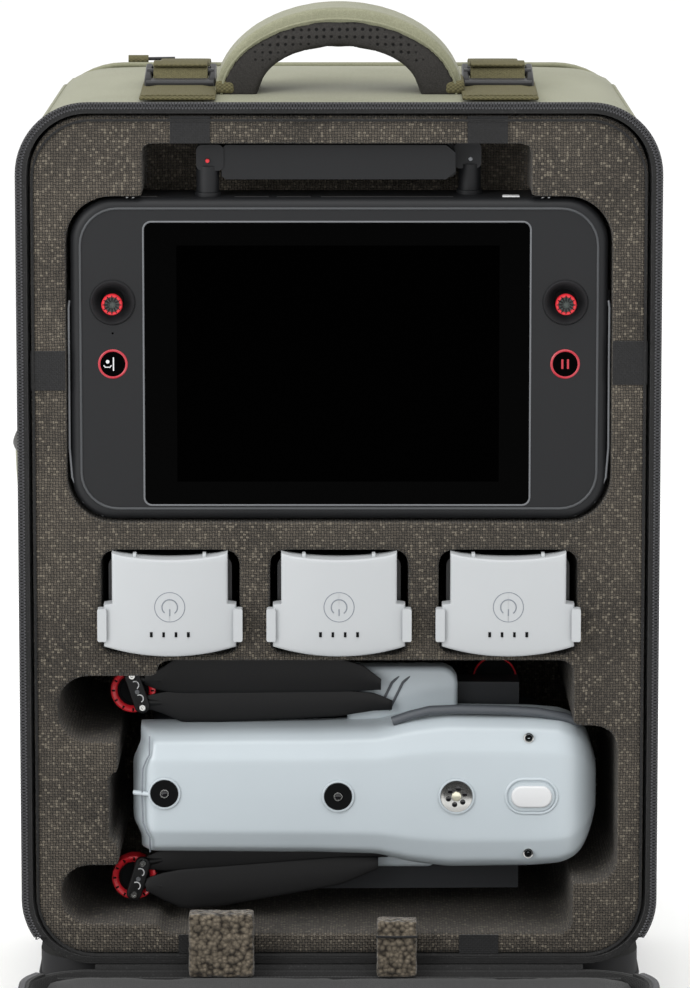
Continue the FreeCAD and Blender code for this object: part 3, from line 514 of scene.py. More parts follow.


# The coil is coloured dark grey, lighter than its black wire: painted highlight standing for the glint on the
# loops.
coil_painted_glint = moulded("coil_painted_glint", "#4b4b4d", 0.3, 0.0008, 0.00002)
zip_low, zip_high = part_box("body_zip")
coil("case_zip_coil", zip_high[0] - 0.0017, hinge_up - 0.0003, zip_low[2], zip_high[2] - 0.0017, 0.0343,
     zip_low[1] - 0.0001, False, "case")
tape_low, tape_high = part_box("lid_zip")
coil("lid_zip_coil", tape_high[0] - 0.0017, -front - 0.0003, -tape_high[1], -tape_low[1] - 0.0017, 0.0343,
     tape_high[2] + 0.0001, True, "lid")


# Foam. A thick block of soft foam cut out for each thing it holds and covered with a nubby
# charcoal cloth, which is glued down into the cut-outs so every edge is soft and rounded.
def cushion(name, node, voxel, smooth, material, body):
    """A soft copy of a CAD solid, given an even skin of small faces and eased at its edges."""
    piece = taken(name, node, material, body)
    piece.data.remesh_voxel_size = voxel
    bpy.ops.object.voxel_remesh()
    ease = piece.modifiers.new("ease", "SMOOTH")
    ease.factor = 0.5
    ease.iterations = smooth
    settle(piece, 180)
    return piece


foam = cushion("cut_foam", "foam_insert", 0.0032, 3, foam_cloth, "case")
narrowed(foam)
backing = cushion("backing_foam", "foam_base", 0.006, 3, foam_cloth, "case")
narrowed(backing)


# Grab handle. A bent foam core sewn between smooth olive cloth on top and open black air mesh
# under the fingers; its two ends run down to the webbing patches.
grip_low, grip_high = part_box("handle_mesh")
grip_middle = (grip_low[1] + grip_high[1]) / 2


def swell(piece, pressure, cap, frames=20):
    """Blows a cloth skin up like stuffing does, then holds every point within cap metres."""
    before = [v.co.copy() for v in piece.data.vertices]
    stuffed = piece.modifiers.new("stuffing", "CLOTH")
    stuffed.settings.use_pressure = True
    stuffed.settings.uniform_pressure_force = pressure
    stuffed.settings.effector_weights.gravity = 0
    stuffed.point_cache.frame_end = frames
    for moment in range(1, frames + 1):
        bpy.context.scene.frame_set(moment)
    bpy.ops.object.select_all(action="DESELECT")
    piece.select_set(True)
    bpy.context.view_layer.objects.active = piece
    bpy.ops.object.modifier_apply(modifier=stuffed.name)
    bpy.context.scene.frame_set(1)
    for vertex, old in zip(piece.data.vertices, before):
        step = vertex.co - old
        if step.length > cap:
            vertex.co = old + step * (cap / step.length)


def arch(name, rings, width, end_width, material):
    """A bent pad: half a turn of a section, with each ring drawn down to its own rise."""
    bpy.ops.object.select_all(action="DESELECT")
    bpy.ops.mesh.primitive_plane_add(size=1)
    piece = bpy.context.object
    piece.name = name
    inner, outer = rings[0][0], rings[-1][0]
    piece.scale = (outer - inner, width, 1)
    piece.location = ((inner + outer) / 2, 0, 0)
    bpy.ops.object.transform_apply(location=True, rotation=True, scale=True)
    bpy.ops.object.mode_set(mode="EDIT")
    slice_up([(a[0] + b[0]) / 2 for a, b in zip(rings, rings[1:])], (1, 0, 0))
    slice_up(stepped(-width / 2, width / 2, 0.004), (0, 1, 0))
    bpy.ops.mesh.select_all(action="SELECT")
    bpy.ops.mesh.spin(steps=44, angle=math.pi, center=(0, 0, 0), axis=(0, 1, 0))
    net = bmesh.from_edit_mesh(piece.data)
    for vertex in net.verts:
        reach = math.hypot(vertex.co.x, vertex.co.z)
        share = (reach - inner) / (outer - inner)
        part = (1 - share) * rings[0][1] / inner + share * rings[-1][1] / outer
        lean = math.atan2(abs(vertex.co.z), abs(vertex.co.x))
        vertex.co.y *= 1 - (1 - end_width) * (1 - math.sin(lean)) ** 2
        vertex.co.z = abs(vertex.co.z) * part
    bmesh.update_edit_mesh(piece.data)
    bpy.ops.mesh.select_all(action="SELECT")
    bpy.ops.mesh.remove_doubles(threshold=0.00001)
    bpy.ops.transform.translate(value=(0, grip_middle, shell_top))
    bpy.ops.mesh.normals_make_consistent(inside=False)
    bpy.ops.object.mode_set(mode="OBJECT")
    piece.data.remesh_voxel_size = 0.0022
    bpy.ops.object.voxel_remesh()
    ease = piece.modifiers.new("ease", "SMOOTH")
    ease.factor = 0.5
    ease.iterations = 7
    piece.data.materials.clear()
    piece.data.materials.append(material)
    settle(piece, 180)
    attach(piece, "handle")
    return piece


# Air mesh: a knitted spacer cloth with rows of small open holes.
air_mesh, tree = blank("black_air_mesh")
where = add(tree, "TexCoord", {})
cells = add(tree, "TexVoronoi", {"Scale": 260.0, "Randomness": 0.12}, [("Vector", where.outputs["Object"])])
holes = add(tree, "ValToRGB", {}, [("Fac", cells.outputs["Distance"])])
holes.color_ramp.elements[0].position = 0.16
holes.color_ramp.elements[1].position = 0.28
knit = add(tree, "TexNoise", {"Scale": 1400.0, "Detail": 3.0}, [("Vector", where.outputs["Object"])])
yarn = add(tree, "Mix", {"data_type": "RGBA", 6: linear("#181716"), 7: linear("#3f3d3b")},
           [(0, knit.outputs["Fac"])])
colour = add(tree, "Mix", {"data_type": "RGBA", 6: linear("#070707")},
             [(0, holes.outputs["Color"]), (7, yarn.outputs[2])])
relief = add(tree, "Math", {"operation": "MULTIPLY_ADD", 1: 0.35},
             [(0, knit.outputs["Fac"]), (2, holes.outputs["Color"])])
bump = add(tree, "Bump", {"Strength": 0.6, "Distance": 0.0008}, [("Height", relief.outputs[0])])
skin = add(tree, "BsdfPrincipled", {"Roughness": 0.85, "Specular IOR Level": 0.2},
           [("Base Color", colour.outputs[2]), ("Normal", bump.outputs[0])])
add(tree, "OutputMaterial", {}, [("Surface", skin.outputs["BSDF"])])

grip_mesh = arch("grip_air_mesh", [(0.0410, 0.0260), (0.0495, 0.0318), (0.0590, 0.0390)], 0.0335, 0.86,
                 air_mesh)
swell(grip_mesh, 3, 0.0012)
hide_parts("handle_mesh")
grip_top = arch("grip_olive_top", [(0.0574, 0.0380), (0.0598, 0.0415), (0.0622, 0.0452)], 0.036, 0.75,
                olive_cloth)
swell(grip_top, 3, 0.0012)
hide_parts("handle_pad")

# Piped seam along both edges of the olive top.
for side, place in ((-1, "front"), (1, "rear")):
    run = []
    for step in range(41):
        lean = math.pi * step / 40
        pull = 1 - 0.2 * (1 - math.sin(lean)) ** 2
        run.append((0.0590 * math.cos(lean), grip_middle + side * 0.0172 * pull,
                    shell_top + 0.0008 + 0.0388 * math.sin(lean)))
    tube("grip_seam_" + place, run, 0.0007, olive_cloth, "handle")


# Webbing patches. Folded 38 mm polyester webbing, sewn flat to the top at each end of the handle
# with a close zigzag along its front edge.
webbing_cloth, tree = blank("ribbed_olive_webbing")
where = add(tree, "TexCoord", {})
place = add(tree, "SeparateXYZ", {}, [(0, where.outputs["Object"])])
cross = add(tree, "Math", {"operation": "MULTIPLY", 1: 2600.0}, [(0, place.outputs["X"])])
cross = add(tree, "Math", {"operation": "SINE"}, [(0, cross.outputs[0])])
rows = add(tree, "Math", {"operation": "ADD"}, [(0, place.outputs["Y"]), (1, place.outputs["Z"])])
rows = add(tree, "Math", {"operation": "MULTIPLY", 1: 3600.0}, [(0, rows.outputs[0])])
rows = add(tree, "Math", {"operation": "SINE"}, [(0, rows.outputs[0])])
knots = add(tree, "Math", {"operation": "MULTIPLY"}, [(0, cross.outputs[0]), (1, rows.outputs[0])])
fuzz = add(tree, "TexNoise", {"Scale": 700.0, "Detail": 3.0}, [("Vector", where.outputs["Object"])])
level = add(tree, "Math", {"operation": "MULTIPLY_ADD", 1: 0.28, 2: 0.4}, [(0, knots.outputs[0])])
level = add(tree, "Math", {"operation": "MULTIPLY_ADD", 1: 0.5, "use_clamp": True},
            [(0, fuzz.outputs["Fac"]), (2, level.outputs[0])])
colour = add(tree, "Mix", {"data_type": "RGBA", 6: linear("#26241a"), 7: linear("#6a6548")},
             [(0, level.outputs[0])])
bump = add(tree, "Bump", {"Strength": 0.6, "Distance": 0.0006}, [("Height", level.outputs[0])])
skin = add(tree, "BsdfPrincipled", {"Roughness": 0.8, "Specular IOR Level": 0.2},
           [("Base Color", colour.outputs[2]), ("Normal", bump.outputs[0])])
add(tree, "OutputMaterial", {}, [("Surface", skin.outputs["BSDF"])])

patch_low, patch_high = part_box("anchor_webbing")
patch_in = patch_high[0] - 0.038
for side, place in ((-1, "left"), (1, "right")):
    inner, outer = sorted((side * patch_in, side * patch_high[0]))
    low = [inner, patch_low[1] - 0.001, shell_top + 0.0014]
    patch = boxed("webbing_patch_" + place, low, [outer, patch_high[1], patch_high[2] + 0.001],
                  webbing_cloth, "case")
    bpy.context.view_layer.objects.active = patch
    patch.select_set(True)
    bpy.ops.object.mode_set(mode="EDIT")
    slice_up(stepped(low[0], outer, 0.004), (1, 0, 0))
    slice_up(stepped(low[1], patch_high[1], 0.004), (0, 1, 0))
    pick(patch, lambda spots: spots[0].z > shell_top + 0.002 and
         low[0] + 0.004 < spots[0].x < outer - 0.004 and low[1] + 0.006 < spots[0].y, "VERT")
    bpy.ops.transform.translate(value=(0, 0, 0.0006))
    hems = ((0, low[0]), (0, outer), (1, low[1]))
    pick(patch, lambda spots: spots[0].z == spots[1].z and
         any(all(abs(p[way] - line) < 1e-5 for p in spots) for way, line in hems))
    bpy.ops.mesh.bevel(offset=0.0007, segments=2, affect="EDGES")
    settle(patch, 60)
    if side < 0:
        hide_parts("anchor_webbing")
    # Zigzag lockstitch in heavy thread along the front edge.
    run = []
    for step in range(27):
        run.append((inner + 0.0012 + 0.0356 * step / 26, low[1] + (0.0012 if step % 2 else 0.0042),
                    patch_high[2] + 0.0012))
    tube("zigzag_stitch_" + place, run, 0.00045, webbing_cloth, "case")
    # Folded end of the patch beside the handle: the webbing turns up and holds the grip's end.
    hug = boxed("grip_loop_" + place, [side * 0.0575 - 0.0045, grip_middle - 0.0155, shell_top + 0.0015],
                [side * 0.0575 + 0.0055, grip_middle + 0.0155, shell_top + 0.0085], webbing_cloth, "handle")
    pick(hug, lambda spots: True)
    bpy.ops.mesh.bevel(offset=0.0022, segments=3, affect="EDGES")
    settle(hug, 60)


def ribbon(name, left, right, points, thick, material=webbing_cloth, body="case"):
    """A flat strap of a width, laid along points in the YZ plane."""
    bpy.ops.object.select_all(action="DESELECT")
    bpy.ops.mesh.primitive_plane_add(size=1, location=((left + right) / 2, 0.5, 0))
    strap = bpy.context.object
    strap.name = name
    strap.scale = (right - left, 1, 1)
    bpy.ops.object.transform_apply(location=True, rotation=True, scale=True)
    pick(strap, lambda spots: spots[0].y > 0.5, "VERT")
    bpy.ops.mesh.delete(type="VERT")
    bpy.ops.mesh.select_mode(type="EDGE")
    bpy.ops.mesh.select_all(action="SELECT")
    bpy.ops.transform.translate(value=(0, points[0][0], points[0][1]))
    for here, there in zip(points, points[1:]):
        step = (0, there[0] - here[0], there[1] - here[1])
        bpy.ops.mesh.extrude_region_move(TRANSFORM_OT_translate={"value": step})
    bpy.ops.mesh.select_all(action="SELECT")
    bpy.ops.mesh.normals_make_consistent(inside=False)
    bpy.ops.object.mode_set(mode="OBJECT")
    ply = strap.modifiers.new("ply", "SOLIDIFY")
    ply.thickness = thick
    ply.offset = 0
    edge = strap.modifiers.new("edge", "BEVEL")
    edge.width = thick * 0.3
    edge.segments = 2
    fine = strap.modifiers.new("fine", "SUBSURF")
    fine.levels = 2
    strap.data.materials.append(material)
    settle(strap, 180)
    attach(strap, body)
    return strap


# Ladder-lock buckles. Acetal frame with two rails, a sloped lower bar and an upper bar; the
# webbing comes up through the slot, over the upper bar and away to the back.
buckle_low, buckle_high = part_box("anchor_buckles")
for side, place in ((-1, "left"), (1, "right")):
    inner, outer = sorted((side * (patch_in + 0.001), side * (patch_high[0] - 0.001)))
    base = buckle_low[2]
    for rail, start in (("inner", inner), ("outer", outer - 0.0035)):
        bar = boxed("buckle_rail_%s_%s" % (rail, place), [start, buckle_low[1] - 0.006, base + 0.0006],
                    [start + 0.0035, buckle_high[1], base + 0.0085], black_acetal, "case")
        pick(bar, lambda spots: spots[0].z > base + 0.005 and spots[0].y < buckle_low[1], "VERT")
        bpy.ops.transform.translate(value=(0, 0.004, -0.0038))
        pick(bar, lambda spots: abs(spots[0].x - spots[1].x) < 0.001)
        bpy.ops.mesh.bevel(offset=0.0011, segments=3, affect="EDGES")
        settle(bar, 50)
        if side < 0 and rail == "inner":
            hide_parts("anchor_buckles")
    for part, low_y, high_y, low_z, high_z in (("lower", -0.007, 0.0025, 0.0012, 0.0042),
                                               ("upper", 0.0125, 0.0165, 0.004, 0.0075),
                                               ("rear", 0.0262, 0.0298, 0.003, 0.0072)):
        bar = boxed("buckle_%s_bar_%s" % (part, place), [inner + 0.001, buckle_low[1] + low_y, base + low_z],
                    [outer - 0.001, buckle_low[1] + high_y, base + high_z], black_acetal, "case")
        if part == "lower":
            pick(bar, lambda spots: spots[0].y < buckle_low[1], "VERT")
            bpy.ops.transform.translate(value=(0, 0, -0.0008))
        pick(bar, lambda spots: abs(spots[0].x - spots[1].x) > 0.01)
        bpy.ops.mesh.bevel(offset=0.0009, segments=3, affect="EDGES")
        settle(bar, 50)
    # The webbing over the bars: two plies, crowned where they wrap the bar.
    for ply, points in (("lower", ((0.002, 0.0012), (0.008, 0.0022), (0.0125, 0.0078), (0.0165, 0.009),
                                   (0.021, 0.0075), (0.026, 0.0015), (0.031, 0.001))),
                        ("upper", ((0.0105, 0.0095), (0.0165, 0.0108), (0.022, 0.0105), (0.028, 0.0092),
                                   (0.034, 0.0075), (0.042, 0.0055)))):
        ribbon("buckle_webbing_%s_%s" % (ply, place), inner + 0.0042, outer - 0.0042,
               [(buckle_low[1] + y, base + z) for y, z in points], 0.0014)

# Shoulder-strap webbing: from the buckles over the back edge and under the tops of the straps,
# and again from the foot of the back panel up to the adjusters.
for side, place in ((-1, "left"), (1, "right")):
    inner, outer = sorted((side * (patch_in + 0.006), side * (patch_in + 0.032)))
    upper = ribbon("upper_strap_" + place, inner, outer,
                   [(buckle_high[1] - 0.002, shell_top + 0.0058), (0.02, shell_top + 0.0048),
                    (rear - 0.026, shell_top + 0.0032), (rear - 0.012, shell_top + 0.0026),
                    (rear - 0.001, shell_top - 0.003), (rear + 0.006, shell_top - 0.012),
                    (rear + 0.0112, shell_top - 0.0255)], 0.0016)
    if side < 0:
        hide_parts("strap_webbing")
    ribbon("lower_strap_" + place, inner - 0.002, outer - 0.004,
           [(rear + 0.0008, hinge_up + 0.016), (rear + 0.001, hinge_up + 0.03),
            (rear + 0.0106, hinge_up + 0.047), (rear + 0.0113, hinge_up + 0.1),
            (rear + 0.0113, hinge_up + 0.15)], 0.0016)


# Remote controller. A tablet-like ABS body: its face is a shallow tray inside a raised edge, with
# the cover glass let in between the two stick panels.
def lathe(name, section, centre, material, body, sides=32):
    """A round part turned about an axis that points out of the case: section is radius, depth."""
    bpy.ops.object.select_all(action="DESELECT")
    bpy.ops.mesh.primitive_plane_add(size=1)
    piece = bpy.context.object
    piece.name = name
    bpy.ops.object.mode_set(mode="EDIT")
    pick(piece, lambda spots: not (spots[0].x < 0 and spots[0].y < 0), "VERT")
    bpy.ops.mesh.delete(type="VERT")
    bpy.ops.mesh.select_all(action="SELECT")
    bpy.ops.transform.translate(value=(0.5 + section[0][0], 0.5 - section[0][1], 0))
    for here, there in zip(section, section[1:]):
        step = (there[0] - here[0], here[1] - there[1], 0)
        bpy.ops.mesh.extrude_region_move(TRANSFORM_OT_translate={"value": step})
    bpy.ops.mesh.select_all(action="SELECT")
    bpy.ops.mesh.spin(steps=sides, angle=math.tau, center=(0, 0, 0), axis=(0, 1, 0))
    bpy.ops.mesh.select_all(action="SELECT")
    bpy.ops.mesh.remove_doubles(threshold=0.00002)
    bpy.ops.transform.translate(value=centre)
    settle(piece, 40)
    piece.data.materials.append(material)
    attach(piece, body)
    return piece


pad_low, pad_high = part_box("controller_shell")
pad_up = (pad_low[2] + pad_high[2]) / 2
glass_low, glass_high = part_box("controller_glass")
# Grey trim: painted highlight on the controller's glass and grip edges, and the real grey of the antenna pin
# and hub caps.
trim_grey_and_highlight = moulded("grey_trim_and_painted_highlight", "#5f6164", 0.35, 0.0008, 0.00003)


def frame_line(name, low_x, high_x, low_z, high_z, radius, depth, thick, material, body):
    """A fine bead that follows a rounded rectangle on the front."""
    run = []
    for x, z, turn in ((high_x - radius, high_z - radius, 0), (low_x + radius, high_z - radius, 90),
                       (low_x + radius, low_z + radius, 180), (high_x - radius, low_z + radius, 270)):
        run += arc_run(x, depth, z, radius, [turn + 11.25 * step for step in range(9)])
    run.append(run[0])
    return tube(name, run, thick, material, body)


# Painted highlights: a grey bead along the raised edge of the body, a grey line round the glass and grey
# strips on both side grips, all lighter than the charcoal body, stand for light caught on those edges.
edge_highlight_abs = moulded("charcoal_abs_painted_highlight", "#3b3d3f", 0.4, 0.0005, 0.00003, 0.0, 0.4)
frame_line("controller_edge_highlight", pad_low[0] + 0.0052, pad_high[0] - 0.0052,
           pad_low[2] + 0.0058, pad_high[2] - 0.005, 0.0185, pad_low[1] - 0.0001, 0.0007,
           edge_highlight_abs, "controller")
frame_line("glass_edge_highlight", glass_low[0] - 0.0003, glass_high[0] + 0.0003, glass_low[2] - 0.0003,
           glass_high[2] + 0.0003, 0.004, pad_low[1] - 0.0001, 0.0005, trim_grey_and_highlight, "controller")
# Grey strip along each grip edge: painted highlight.
for side, place in ((-1, "left"), (1, "right")):
    run = [(side * (pad_high[0] + 0.0004), pad_low[1] + 0.0035, pad_up + 0.0295),
           (side * (pad_high[0] + 0.0008), pad_low[1] + 0.0025, pad_up + 0.026),
           (side * (pad_high[0] + 0.0008), pad_low[1] + 0.0025, pad_up - 0.045),
           (side * (pad_high[0] - 0.0004), pad_low[1] + 0.0025, pad_up - 0.06),
           (side * (pad_high[0] - 0.006), pad_low[1] + 0.0025, pad_up - 0.0725),
           (side * (pad_high[0] - 0.016), pad_low[1] + 0.0028, pad_up - 0.0795)]
    tube("grip_edge_highlight_" + place, run, 0.0006, trim_grey_and_highlight, "controller")

# Sticks: a soft rubber dish round each opening; the stick is a black post with a red anodised
# cap whose grey face is cut with radial teeth.
tooth_grey = moulded("grey_green_anodised", "#39403d", 0.45, 0.0008, 0.00003)
for side, place, node, lever in ((-1, "left", "stick_left", "lever_l"),
                                 (1, "right", "stick_right", "lever_r")):
    low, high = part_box(node)
    middle = (low[0] + high[0]) / 2
    up = (low[2] + high[2]) / 2
    face = pad_low[1]
    lathe("stick_dish_" + place, [(0.0114, -0.0004), (0.0113, 0.0004), (0.0106, 0.0011),
                                  (0.0096, 0.0007), (0.0078, -0.0022), (0.0062, -0.0062),
                                  (0.0056, -0.0075)], (middle, face, up), soft_rubber, "controller",
          40)
    post = lathe("stick_post_" + place, [(0, -0.010), (0.003, -0.010), (0.0034, -0.0062), (0.0034, 0.001),
                                         (0.0042, 0.0024), (0.0046, 0.0052), (0.0, 0.0052)],
                 (middle, face, up), blade_nylon, lever, 28)
    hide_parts(node)
    lathe("stick_red_ring_" + place, [(0.0046, 0.0038), (0.0052, 0.0044), (0.0053, 0.0075),
                                      (0.0049, 0.0081), (0.0040, 0.0081), (0.0037, 0.0074),
                                      (0.0037, 0.0045)], (middle, face, up), red_metal, lever,
          32)
    lathe("stick_face_" + place, [(0.0, 0.0066), (0.0012, 0.0066), (0.0016, 0.0071),
                                  (0.0038, 0.0073), (0.0038, 0.005), (0.0, 0.005)],
          (middle, face, up), tooth_grey, lever, 28)
    for turn in range(12):
        lean = math.tau * turn / 12
        tube("stick_tooth_%s_%02d" % (place, turn),
             [(middle + 0.0018 * math.cos(lean), face - 0.0073, up + 0.0018 * math.sin(lean)),
              (middle + 0.0047 * math.cos(lean), face - 0.0080, up + 0.0047 * math.sin(lean))],
             0.00036, blade_nylon, lever)

# Round keys: black caps in lit red rings, one with two pause bars and one with a plain pictogram.
glow_red = moulded("red_light_ring", "#ab2533", 0.35, 0.0008, 0.00002)
for side, place, node, body in ((-1, "left", "button_left", "key_l"), (1, "right", "button_right", "key_r")):
    low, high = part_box(node)
    middle = (low[0] + high[0]) / 2
    up = (low[2] + high[2]) / 2
    lathe("key_ring_" + place, [(0.0075, -0.0006), (0.0074, 0.0003), (0.0069, 0.0006), (0.0063, 0.0004),
                                (0.0062, -0.0006)], (middle, pad_low[1], up), glow_red, "controller",
          40)
    dress(node, gloss_glass)
    top = low[1]
    if side > 0:
        for shift in (-0.0014, 0.0014):
            bar = boxed("pause_bar_%s" % ("a" if shift < 0 else "b"),
                        (middle + shift - 0.0005, top - 0.00025, up - 0.0024),
                        (middle + shift + 0.0005, top + 0.0002, up + 0.0024), glow_red, body)
    else:
        bar = boxed("home_bar", (middle, top - 0.00025, up - 0.0034),
                    (middle + 0.0006, top + 0.0002, up + 0.0034), white_button, body)
        lathe("home_dot", [(0.0, 0.0003), (0.0009, 0.0003), (0.0009, -0.0002)],
              (middle - 0.0026, top, up + 0.0012), white_button, body, 16)
        tube("home_base", [(middle - 0.0046, top - 0.0001, up - 0.0006),
                           (middle - 0.0038, top - 0.0001, up - 0.0016),
                           (middle - 0.0014, top - 0.0001, up - 0.0016),
                           (middle - 0.0007, top - 0.0001, up - 0.0006)], 0.0003,
             white_button, body)
# The microphone hole is a black disc: painted shade of the hole.
lathe("microphone_hole", [(0.0, 0.0001), (0.0005, 0.0001), (0.0006, -0.0003)],
      (-0.113, pad_low[1], pad_up + 0.0135), screen_glass, "controller", 12)

# Keys, vent and card slot along the upper edge, drawn as low bars set in the body, and two tiny
# white status lights in front of each end key.
for name, left, wide, material in (("record_key", -0.1085, 0.018, blade_nylon),
                                   ("mode_key_a", -0.052, 0.017, blade_nylon),
                                   ("mode_key_b", -0.031, 0.017, blade_nylon),
                                   ("vent_slot", -0.009, 0.066, blade_nylon),
                                   ("card_slot", 0.0815, 0.0085, white_button),
                                   ("photo_key", 0.096, 0.012, blade_nylon)):
    key = boxed(name, (left, pad_low[1] + 0.006, pad_high[2] - 0.0004),
                (left + wide, pad_low[1] + 0.012, pad_high[2] + 0.0005), material, "controller")
    pick(key, lambda spots: spots[0].z > pad_high[2] and spots[1].z > pad_high[2])
    bpy.ops.mesh.bevel(offset=0.0003, segments=2, affect="EDGES")
    settle(key, 40)
for number, x in enumerate((-0.1055, -0.1025, 0.1015, 0.1045)):
    light = lathe("status_light_%d" % number, [(0.0, 0.0003), (0.0006, 0.0002), (0.0008, -0.0003)],
                  (x, pad_low[1] + 0.004, pad_high[2] - 0.0004), white_button, "controller",
                  12)
# Antenna hinge pins: a red dot on the left knuckle, which turns with the bar, and a grey one on
# the right, which stays with the body.
low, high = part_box("antenna_front")
for place, x, rise, material, body in (("left", -0.0655, 0.004, red_metal, "antenna"),
                                       ("right", 0.0655, 0.005, trim_grey_and_highlight, "controller")):
    lathe("antenna_dot_" + place, [(0.0, 0.0003), (0.0009, 0.0003), (0.0011, -0.0004)],
          (x, low[1], (low[2] + high[2]) / 2 + rise), material, body, 16)


# Flight batteries. A pale cap with a black block behind it for the pack body; the block's black is painted
# shade for the dark foam pocket round the pack. The cap's face is crowned from side to side; the top edge
# dips between its corners and the foot is a long shallow arc.
# Flat black for dark parts, also used as painted shade in the motor's cooling slots and on the far motor deep
# in the bay.
black_and_painted_shade = moulded("black_and_painted_shade", "#08090a", 0.8, 0.0008, 0.00003, 0.0, 0.1)
ring_grey = moulded("printed_grey", "#767c83", 0.5, 0.0008, 0.00001)


def bend_verts(piece, rule):
    """Moves each corner of a mesh being edited by a rule of its own place."""
    net = bmesh.from_edit_mesh(piece.data)
    for corner in net.verts:
        corner.co = rule(*corner.co)
    bmesh.update_edit_mesh(piece.data)


for number in (1, 2, 3):
    node = "battery_%d" % number
    body = "pack_%d" % number
    low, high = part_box(node)
    key_low, key_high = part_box("battery_button_%d" % number)
    middle = (low[0] + high[0]) / 2
    face = low[1]
    foot = low[2]
    half = (high[0] - low[0]) / 2
    tall = high[2] - low[2]
    cap = boxed("battery_cap_%d" % number, (middle - half, face, foot),
                (middle + half, face + 0.0125, high[2]), pack_abs, body)
    bpy.ops.object.mode_set(mode="EDIT")
    slice_up([foot + s for s in (0.004, 0.012, 0.0235, 0.0262, 0.0268, 0.034, 0.042, 0.048)], (0, 0, 1))
    slice_up([middle + s for s in stepped(-half, half, 0.0028)], (1, 0, 0))
    pick(cap, lambda spots: spots[0].z > foot + 0.0265, "VERT")
    bpy.ops.transform.resize(value=(0.874, 1, 1), center_override=(middle, face, foot))

    def crown(x, y, z, middle=middle, foot=foot, half=half, face=face, tall=tall):
        """Bows the foot, dips the top edge between its corners and rounds the face back."""
        off = (x - middle) / half
        up = z - foot
        if up < 0.003:
            up += 0.0046 * off * off
        elif up < 0.013:
            up += 0.0018 * off * off
        if up > tall - 0.0005:
            up -= 0.0026 * (1 - (off / 0.874) ** 2) - 0.0006 * max(0, abs(off / 0.874) - 0.86) * 7
        if y < face + 0.001:
            y += 0.0034 * abs(off) ** 2.4 + 0.0007 * max(0, 1 - up / 0.006)
        return (x, y, foot + up)

    bend_verts(cap, crown)

    def rim_spot(p):
        """Which outer lines of the cap's face a point lies on: its sides, its top or its foot."""
        wide = half * (0.874 if p.z > foot + 0.0265 else 1)
        bow = 0.0005 + 0.0047 * ((p.x - middle) / half) ** 2
        return (abs(abs(p.x - middle) - wide) < 0.0003, p.z > high[2] - 0.0034,
                p.z < foot + 0.0052 and p.z - foot < bow)

    pick(cap, lambda spots: abs(spots[0].y - spots[1].y) < 0.003 and max(p.y for p in spots) < face + 0.0065
         and any(all(line) for line in zip(*(rim_spot(p) for p in spots))))
    bpy.ops.mesh.bevel(offset=0.0011, segments=3, affect="EDGES")
    settle(cap, 50)
    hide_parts(node)
    # The pack body is black: painted shade for the dark foam pocket it sits in.
    cell = boxed("battery_cells_%d" % number, (middle - 0.031, face + 0.0126, foot + 0.0018),
                 (middle + 0.031, high[1], foot + 0.0494), black_acetal, body)
    pick(cell, lambda spots: abs(spots[0].y - spots[1].y) > 0.05)
    bpy.ops.mesh.bevel(offset=0.005, segments=5, affect="EDGES")
    settle(cell, 40)
    for shift in (-0.0175, 0.0175):
        hook = boxed("battery_hook_%d_%s" % (number, "a" if shift < 0 else "b"),
                     (middle + shift - 0.0010, face + 0.003, foot + tall - 0.004),
                     (middle + shift + 0.0008, face + 0.008, foot + tall + 0.0002), pack_abs, body)
        pick(hook, lambda spots: True)
        bpy.ops.mesh.bevel(offset=0.0003, segments=2, affect="EDGES")
        settle(hook, 40)
    key_up = (key_low[2] + key_high[2]) / 2
    tube("battery_key_ring_%d" % number,
         arc_run(middle, key_low[1] + 0.00008, key_up, 0.00755, range(0, 361, 9)), 0.00022, ring_grey, body)
    tube("battery_sign_%d" % number,
         arc_run(middle, key_low[1] + 0.00002, key_up, 0.0039, range(-52, 233, 8)), 0.0003, ring_grey,
         "pack_key_%d" % number)
    tube("battery_sign_bar_%d" % number, [(middle, key_low[1] + 0.00002, key_up - 0.0044),
                                          (middle, key_low[1] + 0.00002, key_up - 0.001)], 0.0003,
         ring_grey, "pack_key_%d" % number)
    for spot in range(4):
        x = middle + (-0.0093 + 0.0062 * spot)
        tube("battery_light_%d_%d" % (number, spot + 1),
             [(x, face + 0.0003, foot + 0.0103), (x, face + 0.0003, foot + 0.0128)], 0.00075,
             black_and_painted_shade, body)


# Folded drone, top cover. One pale moulding: a flat spine between two long creases, with flanks
# that fall away to the arms, wider over the front arms, and a rounded nose.
cover_low, cover_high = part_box("drone_cover")
spine_up = (cover_low[2] + cover_high[2]) / 2
span = (cover_high[2] - cover_low[2]) / 2
long = cover_high[0] - cover_low[0]
deep = cover_high[1] - cover_low[1]
bpy.ops.object.select_all(action="DESELECT")
bpy.ops.mesh.primitive_grid_add(x_subdivisions=76, y_subdivisions=44, size=2)
cover = bpy.context.object
cover.name = "drone_top_cover"
OUTLINE = ((0.0, 0.79), (0.03, 0.795), (0.40, 0.81), (0.53, 0.835), (0.60, 0.94), (0.68, 1.0),
           (0.86, 0.985), (0.92, 0.955), (0.955, 0.88), (0.978, 0.73), (0.99, 0.55), (1.0, 0.3))
CROSS = ((0.0, 0.0), (0.56, 0.004), (0.59, 0.010), (0.83, 0.10), (0.86, 0.125), (0.95, 0.26), (0.985, 0.42),
         (1.0, 0.65), (1.0, 1.0))
SHARE = (0.0, 0.36, 0.40, 0.60, 0.64, 0.74, 0.82, 0.90, 1.0)


def follow(table, place):
    """Reads a value off a list of stations."""
    for (a, low), (b, high) in zip(table, table[1:]):
        if place <= b:
            return low + (high - low) * (place - a) / max(b - a, 1e-9)
    return table[-1][1]


